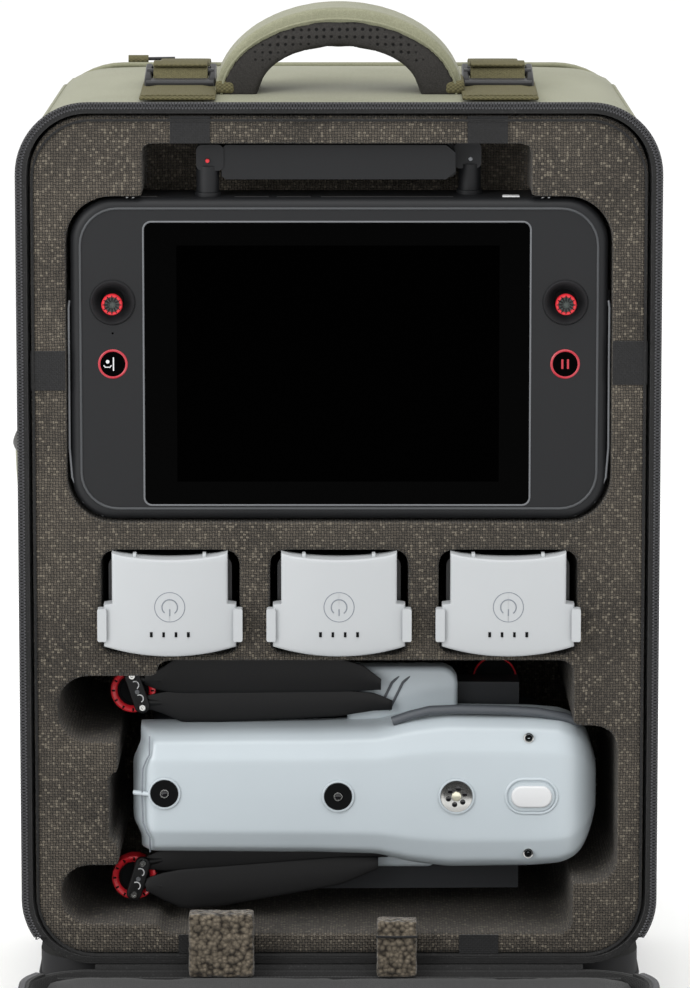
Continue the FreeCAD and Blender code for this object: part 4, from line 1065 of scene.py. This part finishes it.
def drape(x, y, z):
    """Lays a flat grid over the drone: along its length, out to its outline and down its flanks."""
    along = (x + 1) / 2
    side = abs(y)
    reach = follow(list(zip(SHARE, (c[0] for c in CROSS))), side)
    fall = follow(list(zip(SHARE, (c[1] for c in CROSS))), side)
    tail = max(0, 1 - along / 0.045) ** 2 * 0.55
    nose = max(0, (along - 0.90) / 0.10) ** 3 * 0.62
    half = follow(OUTLINE, along) * span
    fall = fall + (1 - fall) * max(tail, nose)
    start = 0.004 * min(1, max(0, side - 0.3) * 4) * max(0, 1 - along / 0.06)
    return (cover_low[0] + long * along + start, cover_low[1] + deep * fall * 0.92,
            spine_up + math.copysign(reach * half, y) if y else spine_up)


bpy.ops.object.mode_set(mode="EDIT")
bend_verts(cover, drape)
bpy.ops.mesh.select_all(action="SELECT")
bpy.ops.mesh.region_to_loop()
bpy.ops.mesh.extrude_region_move(TRANSFORM_OT_translate={"value": (0, 0.0015, 0)})
bpy.ops.mesh.select_all(action="SELECT")
bpy.ops.mesh.remove_doubles(threshold=0.00005)
bpy.ops.mesh.normals_make_consistent(inside=False)
bpy.ops.object.mode_set(mode="OBJECT")
cover.data.materials.append(drone_abs)
moulding = cover.modifiers.new("moulding", "SOLIDIFY")
moulding.thickness = 0.0014
moulding.offset = -1
crease = cover.modifiers.new("crease", "SUBSURF")
crease.levels = 1
settle(cover, 28)
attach(cover, "drone")
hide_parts("drone_cover")

# Tail seam: the end moulding meets the cover in a fine stepped joint, with a short central rib.
run = [(cover_low[0] + x / 1000, cover_low[1] + d / 1000, spine_up + z / 1000) for x, d, z in
       ((9.0, 4.6, -30), (9.0, 1.9, -25), (9.0, 0.75, -21.5), (7.4, 0.6, -18.5), (5.6, 1.2, -14),
        (5.2, 1.5, 0), (5.6, 1.2, 14), (7.4, 0.6, 18.5), (9.0, 0.75, 21.5), (9.0, 1.9, 25), (9.0, 4.6, 30))]
tube("drone_tail_seam", run, 0.0004, ring_grey, "drone")
tube("drone_tail_rib", [(cover_low[0] + 0.001, cover_low[1] + 0.0046, spine_up + 0.001),
                        (cover_low[0] + 0.009, cover_low[1] + 0.0004, spine_up + 0.001)], 0.0013,
     drone_abs, "drone")

# Slate trim strip along the upper shoulder, over the front arm.
strip_run = [(cover_low[0] + long * a, cover_low[1] + deep * d, spine_up + span * h) for a, d, h in
             ((0.56, 0.30, 0.90), (0.60, 0.28, 0.985), (0.64, 0.27, 1.045), (0.70, 0.27, 1.06),
              (0.80, 0.27, 1.05), (0.87, 0.28, 1.02), (0.93, 0.32, 0.95), (0.96, 0.38, 0.87))]
tube("drone_shoulder_strip", strip_run, 0.0024, dark_abs, "drone")

# Folded front arms: slate tubes, coloured much darker than the slate hull as painted shade of the bay they
# lie in, with a pale rounded cap over each hinge end.
arm_shaded_slate = moulded("arm_slate_painted_shade", "#1d1f22", 0.5, 0.0006, 0.00004, 0.0, 0.3)
dress("drone_arms", arm_shaded_slate)
for place, side, right, high in (("upper", 1, 0.0605, 0.0605), ("lower", -1, 0.050, 0.0445)):
    z0, z1 = sorted((spine_up + side * 0.030, spine_up + side * high))
    cap = boxed("arm_cap_" + place, (0.004, cover_low[1] + 0.0305, z0), (right, cover_low[1] + 0.042, z1),
                drone_abs, "drone")
    pick(cap, lambda spots: abs(spots[0].y - spots[1].y) > 0.01 and min(p.x for p in spots) > 0.02 and
         min(side * (p.z - spine_up) for p in spots) > 0.035)
    bpy.ops.mesh.bevel(offset=0.009 if side > 0 else 0.005, segments=8, affect="EDGES")
    pick(cap, lambda spots: all(p.y < cover_low[1] + 0.0306 for p in spots))
    bpy.ops.mesh.bevel(offset=0.0028, segments=4, affect="EDGES")
    settle(cap, 45)
    for number, x in enumerate((0.026, 0.0315)):
        tube("arm_joint_%s_%d" % (place, number),
             [(x - 0.006, cover_low[1] + 0.0306, spine_up + side * 0.038),
              (x + 0.001, cover_low[1] + 0.0303, spine_up + side * (high - 0.008)),
              (x + 0.009, cover_low[1] + 0.0322, spine_up + side * (high - 0.001))], 0.0007,
             dark_abs, "drone")

# Sensor windows: a black glass disc in a pale ring with a small round lens at its centre, and a
# landing lamp with a bright reflector.
lens_glass = moulded("lens_glass", "#141416", 0.08, 0.002, 0.000001, 0.0, 0.6)
bright = moulded("reflector", "#e9e6cf", 0.15, 0.0008, 0.00002)
bright.node_tree.nodes["Principled BSDF"].inputs["Metallic"].default_value = 0.6
chrome = moulded("polished_steel", "#b9b9b6", 0.16, 0.0008, 0.00001)
chrome.node_tree.nodes["Principled BSDF"].inputs["Metallic"].default_value = 1.0
for name, x, lift, radius in (("tail_sensor", cover_low[0] + 0.0165, 0.0015, 0.007),
                              ("spine_sensor", cover_low[0] + 0.1045, 0, 0.007),
                              ("landing_lamp", cover_low[0] + 0.1645, 0, 0.008)):
    spot = (x, cover_low[1] - 0.0001, spine_up + lift)
    lathe(name + "_ring", [(radius + 0.0013, 0.0002), (radius + 0.0011, 0.0007), (radius + 0.0004, 0.0008),
                           (radius, 0.0002), (radius, -0.001)], spot, drone_abs, "drone",
          40)
    if "lamp" in name:
        lathe(name + "_cup", [(radius, 0.0006), (radius - 0.0008, 0.0005), (radius - 0.0018, 0.0003),
                              (0.002, 0.0002), (0.0, 0.0002)], spot, chrome, "drone", 40)
        for turn in range(6):
            lean = math.tau * turn / 6 + 0.3
            lathe("%s_petal_%d" % (name, turn), [(0.0, 0.0007), (0.0012, 0.0006), (0.0015, 0.0001)],
                  (x + 0.0043 * math.cos(lean), cover_low[1] - 0.0001, spot[2] + 0.0043 * math.sin(lean)),
                  lens_glass, "drone", 14)
        lathe(name + "_chip", [(0.0, 0.0009), (0.0022, 0.0007), (0.0025, 0.0001)],
              (x, cover_low[1] - 0.0001, spot[2]), bright, "drone", 20)
    else:
        glass = lathe(name + "_glass", [(radius, 0.0006), (radius - 0.0012, 0.0005), (0.0034, 0.0004),
                                        (0.0, 0.0003)], spot, black_and_painted_shade, "drone", 40)
        lathe(name + "_lens_ring", [(0.0023, 0.0003), (0.0022, 0.0008), (0.0018, 0.0008), (0.0016, 0.0003)],
              spot, chrome, "drone", 28)
        lathe(name + "_lens", [(0.0016, 0.0004), (0.001, 0.0006), (0.0, 0.0007)], spot, lens_glass, "drone",
              24)
        if name == "tail_sensor":
            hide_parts("drone_sensors")
for number, high_shift in ((1, 0.030), (2, -0.030)):
    spot = (cover_low[0] + 0.201, cover_low[1] + 0.0018, spine_up + high_shift)
    lathe("cover_screw_rim_%d" % number, [(0.0026, 0.0), (0.0025, 0.0007), (0.0020, 0.0006),
                                          (0.0017, -0.0003)], spot, chrome, "drone", 24)
    lathe("cover_screw_%d" % number, [(0.0017, 0.0001), (0.0008, 0.0002), (0.0007, -0.0006), (0, -0.0006)],
          spot, black_and_painted_shade, "drone", 20)

# Oval power key: a white silicone pill in a rim moulded on the cover; it presses straight in.
key_low, key_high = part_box("drone_button")
key_up = (key_low[2] + key_high[2]) / 2
run = []
for centre_x, start in ((key_high[0] - 0.0073, -90), (key_low[0] + 0.0073, 90)):
    run += arc_run(centre_x, cover_low[1] + 0.0003, key_up, 0.0088, range(start, start + 181, 15))
tube("power_key_rim", run + [run[0]], 0.0009, drone_abs, "drone")
pill = boxed("power_key_pill", (key_low[0] + 0.0012, key_low[1] - 0.0014, key_up - 0.0056),
             (key_high[0] - 0.0012, key_low[1] + 0.001, key_up + 0.0056), white_button, "drone_key")
pick(pill, lambda spots: abs(spots[0].y - spots[1].y) > 0.002)
bpy.ops.mesh.bevel(offset=0.0054, segments=9, affect="EDGES")
pick(pill, lambda spots: all(p.y < key_low[1] - 0.001 for p in spots))
bpy.ops.mesh.bevel(offset=0.0011, segments=4, affect="EDGES")
settle(pill, 45)
dress("drone_button", drone_abs)


# Folding rotors. Each near motor carries two long black blades folded back along the body, a
# clamp plate with two steel screws, and a red motor bell under it.
rotor_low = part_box("drone_rotors")[0]
motor_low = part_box("drone_motors")[0]


def blade(name, stations, depth, tilt):
    """A blade given by stations of x, lower edge and upper edge in millimetres."""
    bpy.ops.object.select_all(action="DESELECT")
    bpy.ops.mesh.primitive_grid_add(x_subdivisions=40, y_subdivisions=10, size=2)
    piece = bpy.context.object
    piece.name = name
    ends = (stations[0][0], stations[-1][0])

    def place(x, y, z):
        """Stretches a flat grid between the two edges, with a little camber and tilt."""
        along = ends[0] + (ends[1] - ends[0]) * (x + 1) / 2
        low = follow([(s[0], s[1]) for s in stations], along)
        high = follow([(s[0], s[2]) for s in stations], along)
        rise = low + (high - low) * (y + 1) / 2
        camber = 0.0006 * (1 - y * y) + tilt * y
        return (along / 1000, depth - camber, rise / 1000)

    bpy.ops.object.mode_set(mode="EDIT")
    bend_verts(piece, place)
    bpy.ops.mesh.select_all(action="SELECT")
    bpy.ops.mesh.normals_make_consistent(inside=False)
    bpy.ops.object.mode_set(mode="OBJECT")
    thick = piece.modifiers.new("thick", "SOLIDIFY")
    thick.thickness = 0.0011
    thick.offset = 1
    edge = piece.modifiers.new("edge", "BEVEL")
    edge.width = 0.0003
    edge.segments = 2
    piece.data.materials.append(blade_nylon)
    settle(piece, 50)
    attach(piece, "drone")
    return piece


hub_x = -0.105
for place, side in (("upper", 1), ("lower", -1)):
    hub_z = spine_up + side * 0.049
    top = rotor_low[1]
    if side > 0:
        blades = (("outer", ((-99, 171, 176), (-92, 168, 178.5), (-84, 166.5, 184), (-76, 166.2, 185.9),
                             (0, 167, 184.5), (12, 167.6, 181), (21.4, 168.2, 173.5)), 0.0004, 0.0006),
                  ("inner", ((-99, 158.5, 164.5), (-90, 155.5, 166.5), (-80, 151, 167.6), (-60, 151, 167.8),
                             (0, 154, 167.6), (18, 157, 166), (27, 157.5, 162)), 0.0021, 0.0004))
    else:
        blades = (("inner", ((-99, 74, 80), (-90, 73, 84), (-82, 73, 87.2), (-60, 74, 87.4), (0, 78, 87),
                             (16, 80, 86), (25, 80.5, 84)), 0.0021, -0.0004),
                  ("outer", ((-99, 63, 69), (-90, 58, 72), (-80, 53.5, 74), (-60, 55, 75.5), (0, 66, 80.4),
                             (12, 71, 80.4), (20, 74.7, 80.2)), 0.0004, -0.0006))
    for which, stations, lift, tilt in blades:
        wing = blade("blade_%s_%s" % (place, which), stations, top + 0.0012 + lift, tilt)
        if place == "upper" and which == "outer":
            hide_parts("drone_rotors")
        root = (stations[0][1] + stations[0][2]) / 2000
        tube("blade_knuckle_%s_%s" % (place, which),
             [(-0.1015, top + 0.0022, root),
              (-0.0905, top + 0.0014 + lift, (stations[1][1] + stations[1][2]) / 2000)], 0.0021,
             blade_nylon, "drone")
    # Clamp plate, turned a little off upright, with rounded ends.
    tilt = -18 if side > 0 else 16
    plate = boxed("hub_plate_" + place, (-0.0039, top - 0.0006, -0.0116), (0.0039, top + 0.0022, 0.0116),
                  blade_nylon, "drone")
    pick(plate, lambda spots: abs(spots[0].y - spots[1].y) > 0.002)
    bpy.ops.mesh.bevel(offset=0.0037, segments=7, affect="EDGES")
    pick(plate, lambda spots: all(p.y < top for p in spots))
    bpy.ops.mesh.bevel(offset=0.0006, segments=2, affect="EDGES")
    bpy.ops.mesh.select_all(action="SELECT")
    bpy.ops.transform.rotate(value=math.radians(-tilt), orient_axis="Y", center_override=(0, 0, 0))
    bpy.ops.transform.translate(value=(hub_x + 0.0022, 0, hub_z))
    settle(plate, 45)
    for end in (-1, 1):
        lean = math.radians(tilt)
        x = hub_x + 0.0022 + end * 0.0086 * math.sin(lean)
        z = hub_z + end * 0.0086 * math.cos(lean)
        lathe("hub_screw_%s_%s" % (place, "top" if end > 0 else "foot"),
              [(0.0, 0.0004), (0.0005, 0.0004), (0.0007, 0.0009), (0.0015, 0.0009), (0.0019, 0.0005),
               (0.0021, -0.0004)], (x, top - 0.0006, z), chrome, "drone", 24)
        tube("hub_arrow_%s_%s" % (place, "top" if end > 0 else "foot"),
             arc_run(hub_x + 0.0022 + end * 0.0037 * math.sin(lean), top - 0.0007,
                     hub_z + end * 0.0037 * math.cos(lean), 0.0020, range(-60, 121, 15)),
             0.0003, white_button, "drone")
    lathe("hub_cap_" + place, [(0.0, 0.0004), (0.0011, 0.0004), (0.0013, -0.0002)],
          (hub_x + 0.0022, top - 0.0006, hub_z), trim_grey_and_highlight, "drone", 20)
    # Motor bell: red rim with a dark face and cooling slots.
    bell = lathe("motor_bell_" + place, [(0.0114, -0.010), (0.0115, -0.0015), (0.0112, -0.0004),
                                         (0.0104, 0.0), (0.0088, -0.0006), (0.0080, -0.0018),
                                         (0.0079, -0.004)], (hub_x, motor_low[1], hub_z), red_metal,
                 "drone", 48)
    if side > 0:
        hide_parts("drone_motors")
    lathe("motor_face_" + place, [(0.0080, -0.0022), (0.0066, -0.0014), (0.0064, -0.0018),
                                  (0.0045, -0.0018), (0.0, -0.0018)], (hub_x, motor_low[1], hub_z),
          black_and_painted_shade, "drone", 40)
    # The cooling slots are black bars: painted shade for the dark seen through the openings.
    for turn in range(12):
        lean = math.tau * turn / 12
        tube("motor_slot_%s_%02d" % (place, turn),
             [(hub_x + 0.0092 * math.cos(lean), motor_low[1] + 0.0004,
               hub_z + 0.0092 * math.sin(lean)),
              (hub_x + 0.0108 * math.cos(lean), motor_low[1] + 0.0002,
               hub_z + 0.0108 * math.sin(lean))], 0.0005, black_and_painted_shade, "drone")
    # Far motor, deep in the bay: its bell is coloured black as painted shade for the shadow it lies in, with
    # a dull red rim.
    far_z = spine_up + side * 0.049
    lathe("far_bell_" + place, [(0.0112, -0.020), (0.0113, -0.0015), (0.0108, -0.0004), (0.0092, -0.0002),
                                (0.0089, -0.002), (0.0, -0.002)], (0.080, -0.0415, far_z), black_and_painted_shade,
          "drone", 40)
    lathe("far_rim_" + place, [(0.0113, -0.002), (0.0114, -0.0008), (0.0110, -0.0002), (0.0105, -0.0004)],
          (0.080, -0.0415, far_z), red_metal, "drone", 40)


# Lid. The same soft cloth as the shell outside, but black inside and round its edge; it hinges on
# a strip of cloth along the foot of the case.
lid_shell = taken("soft_lid", "lid_shell", olive_cloth, "lid")
lid_low, lid_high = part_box("lid_shell")
lid_shell.data.materials.append(lining_cloth)
pick(lid_shell, lambda spots: all(p.z > lid_low[2] + 0.004 for p in spots), "FACE")
for face in bmesh.from_edit_mesh(lid_shell.data).faces:
    if face.select:
        at = face.calc_center_median()
        inside = face.normal.z > 0.5 or face.normal.x * at.x < 0 or at.z > lid_high[2] - 0.0005
        if inside or (abs(at.x) < 0.15 and at.y > front - 0.004):
            face.material_index = 1
settle(lid_shell, 40)
lid_lining = taken("lid_inside_lining", "lid_lining", lining_cloth, "lid")
settle(lid_lining, 40)

# Organiser panel in the lid: two plies of mesh-backed cloth over thin foam, edged with tape.
panel = cushion("lid_organiser", "lid_panel", 0.004, 5, lining_cloth, "lid")
swell(panel, 2, 0.002)
panel_low, panel_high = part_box("lid_panel")
for name, at in (("near", panel_low[1] + 0.004), ("far", panel_high[1] - 0.004)):
    tube("organiser_edge_" + name, [(panel_low[0] + 0.006, at, panel_high[2] - 0.0004),
                                    (0, at, panel_high[2] + 0.0004),
                                    (panel_high[0] - 0.006, at, panel_high[2] - 0.0004)], 0.0012,
         lining_cloth, "lid")

# Lid blocks: two soft blocks in long-pile loop cloth, set by the hinge, that press on the drone
# when the lid shuts and give way as it does.
pile_cloth, tree = blank("beige_loop_pile")
where = add(tree, "TexCoord", {})
lumps = add(tree, "TexVoronoi", {"Scale": 420.0, "Randomness": 1.0}, [("Vector", where.outputs["Object"])])
curl = add(tree, "TexNoise", {"Scale": 240.0, "Detail": 5.0, "Roughness": 0.7},
           [("Vector", where.outputs["Object"])])
pile = add(tree, "Math", {"operation": "MULTIPLY_ADD", 1: -0.7},
           [(0, lumps.outputs["Distance"]), (2, curl.outputs["Fac"])])
pile = add(tree, "Math", {"operation": "ADD", 1: 0.25, "use_clamp": True}, [(0, pile.outputs[0])])
tint = add(tree, "ValToRGB", {}, [("Fac", pile.outputs[0])])
tint.color_ramp.elements[0].color = linear("#241f19")
tint.color_ramp.elements[0].position = 0.15
tint.color_ramp.elements[1].color = linear("#7d7364")
tint.color_ramp.elements[1].position = 0.75
bump = add(tree, "Bump", {"Strength": 0.9, "Distance": 0.0015}, [("Height", pile.outputs[0])])
skin = add(tree, "BsdfPrincipled", {"Roughness": 0.95, "Specular IOR Level": 0.1, "Sheen Weight": 0.25},
           [("Base Color", tint.outputs["Color"]), ("Normal", bump.outputs[0])])
add(tree, "OutputMaterial", {}, [("Surface", skin.outputs["BSDF"])])
block_foot = (0, front - 0.009, 0.0285)
for place, node, left, right, head in (("left", "lid_pad_left", -0.076, -0.0432, 0.0612),
                                       ("right", "lid_pad_right", 0.0192, 0.0392, 0.0575)):
    block = boxed("lid_block_" + place, (left, front - 0.0155, block_foot[2]), (right, front - 0.0025, head),
                  pile_cloth, "lid")
    block.data.remesh_voxel_size = 0.0018
    bpy.ops.object.select_all(action="DESELECT")
    block.select_set(True)
    bpy.context.view_layer.objects.active = block
    bpy.ops.object.voxel_remesh()
    ease = block.modifiers.new("ease", "SMOOTH")
    ease.factor = 0.5
    ease.iterations = 6
    clumps = bpy.data.textures.new("pile_clumps_" + place, "CLOUDS")
    clumps.noise_scale = 0.004
    rough = block.modifiers.new("rough", "DISPLACE")
    rough.texture = clumps
    rough.strength = 0.0011
    settle(block, 180)
    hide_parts(node)
    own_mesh(block)
seam = tube("lid_block_seam", [(0.0188, front - 0.0156, 0.0500), (0.0292, front - 0.0162, 0.0499),
                               (0.0396, front - 0.0156, 0.0500)], 0.0006, lining_cloth, "lid")
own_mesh(seam)

# Hinge cloth. A bent strip of black cloth, sewn to the foot of the case and to the edge of the
# lid, so the lid folds down flat in front.
strip = ribbon("hinge_cloth", -0.124, 0.124, [(front + 0.0065, hinge_up - 0.0004),
                                              (front + 0.003, hinge_up - 0.0006),
                                              (front + 0.0004, hinge_up - 0.0012),
                                              (front - 0.0008, hinge_up - 0.0024),
                                              (front - 0.0012, hinge_up - 0.0036)], 0.0009, lining_cloth)
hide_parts("hinge_strip")


# Elastic tabs. Six short bands of black woven elastic, sewn to the lining and laid over the edge
# of the foam to hold it down.
tab_cloth = woven("black_elastic", "#0c0c0c", "#1e1e1f", "#212122", 0.0011, 0.5, 0.0, 0.7, 0.2, 0.0003)
dress("elastic_tabs", tab_cloth)

# Side pocket. A patch of the shell cloth sewn flat on the left side along three edges; its open
# mouth is bound with elastic and stands off a little.
pocket_low, pocket_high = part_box("side_pocket")
bpy.ops.object.select_all(action="DESELECT")
bpy.ops.mesh.primitive_grid_add(x_subdivisions=36, y_subdivisions=48, size=2)
pocket = bpy.context.object
pocket.name = "side_pocket_patch"
bpy.ops.object.mode_set(mode="EDIT")


def drape_pocket(x, y, z):
    """Lays a flat grid on the side wall, with its mouth standing off a few millimetres."""
    at = (pocket_low[1] + pocket_high[1]) / 2 + x * (pocket_high[1] - pocket_low[1]) / 2
    up = pocket_low[2] + (pocket_high[2] - pocket_low[2]) * (y + 1) / 2
    gape = max(0, (up - (pocket_high[2] - 0.085)) / 0.085)
    wall = -shell_high[0] * (1 - narrowing * (at - front) / (rear - front)) - 0.0016
    bulge = (0.0012 + 0.0058 * gape * gape * (3 - 2 * gape)) * (1 - x ** 4) * (1 - max(0, -y) ** 6)
    return (wall - bulge - 0.0004 * math.sin(up * 90) * (1 - gape), at, up)


bend_verts(pocket, drape_pocket)
bpy.ops.object.mode_set(mode="OBJECT")
ply = pocket.modifiers.new("ply", "SOLIDIFY")
ply.thickness = 0.0012
ply.offset = 0
pocket.data.materials.append(olive_cloth)
settle(pocket, 180)
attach(pocket, "case")
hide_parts("side_pocket")
tube("side_pocket_elastic", [drape_pocket(-1 + step / 12, 1, 0) for step in range(25)], 0.0018, tab_cloth,
     "case")

# Back cushions. Three foam pads under black air mesh, sewn to the back panel where the wearer's
# back rests.
pads = cushion("back_cushions", "back_pads", 0.0045, 6, air_mesh, "case")
swell(pads, 3, 0.004)

# Shoulder straps. Contoured foam between olive cloth outside and air mesh on the wearer's side;
# each one hangs from the webbing above and ends at its adjuster.
straps = cushion("padded_straps", "shoulder_straps", 0.0042, 5, olive_cloth, "case")
straps.data.materials.append(air_mesh)
for face in straps.data.polygons:
    if face.normal.y < -0.25:
        face.material_index = 1
swell(straps, 2, 0.003)

# Moulded base. A rubber boot under the foot of the case, with three raised ribs running round it
# that take the knocks.
boot_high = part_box("base_boot")[1]
run = []
half_x, half_y, turn = boot_high[0] + 0.0004, boot_high[1] + 0.0004, 0.027
for cx, cy, start in ((half_x - turn, half_y - turn, 0), (-half_x + turn, half_y - turn, 90),
                      (-half_x + turn, -half_y + turn, 180), (half_x - turn, -half_y + turn, 270)):
    for step in range(9):
        lean = math.radians(start + 90 * step / 8)
        run.append((cx + turn * math.cos(lean), cy + turn * math.sin(lean)))
run.append(run[0])
for level in (0.007, 0.013, 0.019):
    tube("boot_rib_%d" % round(level * 1000), [(x, y, level) for x, y in run], 0.0009, soft_rubber,
         "case")

# Rolled tail of the compression webbing, tied down behind the left buckle with a short bar.
tube("webbing_roll", [(-0.111, rear - 0.012, shell_top + 0.0022),
                      (-0.1005, rear - 0.012, shell_top + 0.0022)], 0.0024, webbing_cloth, "case")
tube("webbing_roll_bar", [(-0.1005, rear - 0.012, shell_top + 0.0026),
                          (-0.0865, rear - 0.012, shell_top + 0.0028)], 0.0009, black_acetal,
     "case")

low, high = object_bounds()
